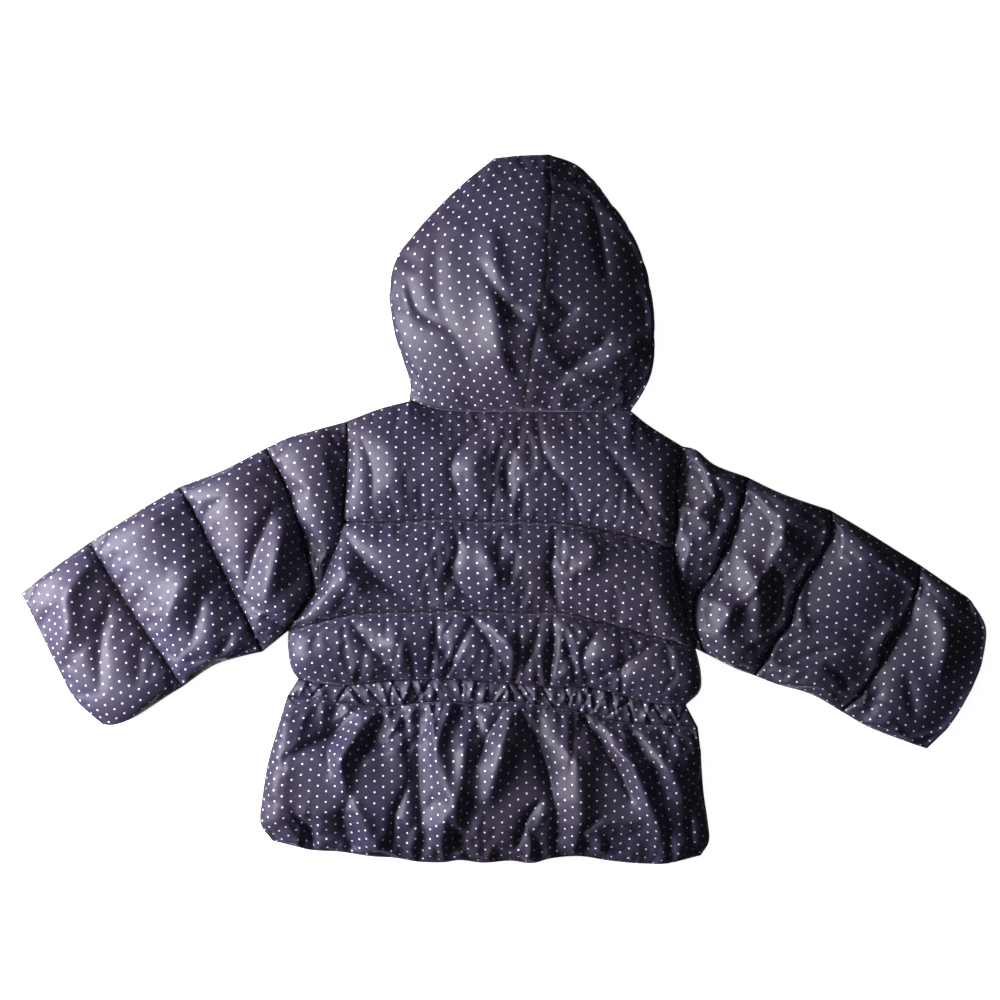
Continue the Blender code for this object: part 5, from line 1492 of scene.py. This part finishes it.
def modelStitch():
    bpy.ops.object.select_all(action="DESELECT")
    bpy.ops.mesh.primitive_cylinder_add(
        vertices=stitch["sides"], radius=stitch["thick"] / 2 * mm, depth=stitch["length"] * mm,
        rotation=(0, math.pi / 2, 0), end_fill_type="NGON",
    )
    made = bpy.context.object
    bpy.ops.object.transform_apply(location=True, rotation=True, scale=True)
    bpy.ops.object.mode_set(mode="EDIT")
    bpy.ops.mesh.select_all(action="SELECT")
    bpy.ops.mesh.bisect(plane_co=(0, 0, 0), plane_no=(1, 0, 0))
    bpy.ops.object.mode_set(mode="OBJECT")
    for vert in made.data.vertices:
        reach = abs(vert.co.x) / (stitch["length"] / 2 * mm)
        vert.co.z -= stitch["sag"] * mm * reach**2
        if reach > 0.9:
            vert.co.y *= 0.6
            vert.co.z *= 0.8
    return takeMesh(made)


def sewStitches():
    one = modelStitch()
    bm = bmesh.new()
    draw = np.random.default_rng(stitch["seed"])
    for line, side in stitchLines:
        count = int(lineLength(line) / stitch["pitch"])
        shares = (np.arange(count) + 0.5) / count
        ends = alongLine(line, np.clip(shares + 0.3 / count, 0, 1))
        for middle, end in zip(alongLine(line, shares), ends):
            run = end - middle
            if np.linalg.norm(run) < 1e-6:
                continue
            run = Vector(run).normalized()
            aside = Vector((0, 0, side)).cross(run).normalized()
            up = run.cross(aside)
            turn = Matrix((run, aside, up)).transposed().to_4x4()
            wobble = Matrix.Rotation(draw.normal() * stitch["wobble"], 4, "Z")
            place = Matrix.Translation(Vector(middle) * mm + up * stitch["thick"] * stitch["proud"] * mm)
            addCopy(bm, one, place @ turn @ wobble)
    for face in bm.faces:
        face.smooth = True
    made = newObject("quiltingStitches", bm)
    made.data.materials.append(threadFinish)
    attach(made, "coat")
    print("sewed", len(made.data.polygons), "thread faces")


# the closed zip down the front
zipper = {
    "toothSize": (3.6, 1.5, 1.9), "toothPitch": 2.9, "toothLevel": 8.2, "toothRoot": 3.0, "bevel": 0.22,
    "footClear": 5.5, "chainTop": 41.5, "tapeClear": (4.0, 2.0), "tapeRows": 190, "tapeColumns": 9,
    "tapeAcross": (3.3, 6.7), "tapeLevel": 10.2, "tapeThick": 0.9, "rib": 0.12, "tapeCut": 10.0,
}
softEdges = {"zip_slider": 0.35, "zip_pull_tab": 0.12}


def modelTooth():
    # a block with a rounded head that hooks between its two neighbours
    long, wide, tall = (size * mm for size in zipper["toothSize"])
    bpy.ops.object.select_all(action="DESELECT")
    bpy.ops.mesh.primitive_cube_add(size=1.0, location=(0, 0, 0))
    made = bpy.context.object
    made.scale = (long * 0.6, wide * 0.62, tall)
    bpy.ops.object.transform_apply(location=True, rotation=True, scale=True)
    bpy.ops.object.mode_set(mode="EDIT")
    bpy.ops.mesh.select_mode(type="FACE")
    bpy.ops.mesh.select_all(action="DESELECT")
    bpy.ops.object.mode_set(mode="OBJECT")
    for face in made.data.polygons:
        face.select = face.normal.x > 0.9
    bpy.ops.object.mode_set(mode="EDIT")
    for share, widen in ((0.12, 1.6), (0.2, 1.0), (0.08, 0.7)):
        bpy.ops.mesh.extrude_region_move(TRANSFORM_OT_translate={"value": (long * share, 0, 0)})
        bpy.ops.transform.resize(value=(1, widen, 0.9))
    bpy.ops.mesh.select_all(action="SELECT")
    bpy.ops.mesh.normals_make_consistent(inside=False)
    bpy.ops.object.mode_set(mode="OBJECT")
    return takeMesh(made)


def makeTeeth():
    one = modelTooth()
    foot = zipFoot[1] + zipper["footClear"]
    upright = math.atan2(zipTop[1] - zipFoot[1], zipTop[0] - zipFoot[0]) - math.pi / 2
    bm = bmesh.new()
    count = int((zipper["chainTop"] - foot) / zipper["toothPitch"])
    for side in (-1, 1):
        lag, turn = (0.5, math.pi) if side > 0 else (0, 0)
        for number in range(count):
            y = foot + (number + lag) * zipper["toothPitch"]
            spot = zipPoint(y, side * (zipper["toothRoot"] - zipper["toothSize"][0] * 0.3))
            place = Matrix.Translation((spot[0] * mm, spot[1] * mm, zipper["toothLevel"] * mm))
            addCopy(bm, one, place @ Matrix.Rotation(upright + turn, 4, "Z"))
    teeth = newObject("zipTeeth", bm)
    applyModifier(teeth, "BEVEL", width=zipper["bevel"] * mm, segments=1, limit_method="ANGLE")
    bpy.ops.object.shade_smooth_by_angle(angle=math.radians(40))
    teeth.data.materials.append(teethFinish)
    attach(teeth, "coat")
    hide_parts("zip_chain")
    print("zip ready:", 2 * count, "teeth")


def makeTape(word):
    side = halves[word]["side"]
    across = np.linspace(*zipper["tapeAcross"], zipper["tapeColumns"])
    low, high = zipper["tapeClear"]
    up = np.linspace(zipFoot[1] + low, zipTop[1] - high, zipper["tapeRows"])
    levels = zipper["tapeLevel"] + zipper["rib"] * np.cos(np.linspace(0, 6 * np.pi, len(across)))
    grid = np.array([[[*zipPoint(y, side * x), level] for x, level in zip(across, levels)] for y in up])
    bm = bmesh.new()
    addGrid(bm, grid)
    flatMap(bm, bm.faces)
    tape = newObject("zipTape" + word, bm)
    applyModifier(tape, "SOLIDIFY", thickness=zipper["tapeThick"] * mm, offset=0.0)
    bpy.ops.object.shade_smooth_by_angle(angle=math.radians(40))
    tape.data.materials.append(tapeFinish)
    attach(tape, "coat")
    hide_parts("zip_tape_" + word.lower())


def finishMetal():
    for name, roundness in softEdges.items():
        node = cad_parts[name]
        for slot in node.material_slots:
            slot.material = metalFinish
        softened = node.modifiers.new("soft edges", "BEVEL")
        softened.width = roundness * mm
        softened.segments = 2
        softened.limit_method = "ANGLE"
        softened.angle_limit = math.radians(40)


sewStitches()
makeTeeth()
for word in halves:
    makeTape(word)
finishMetal()
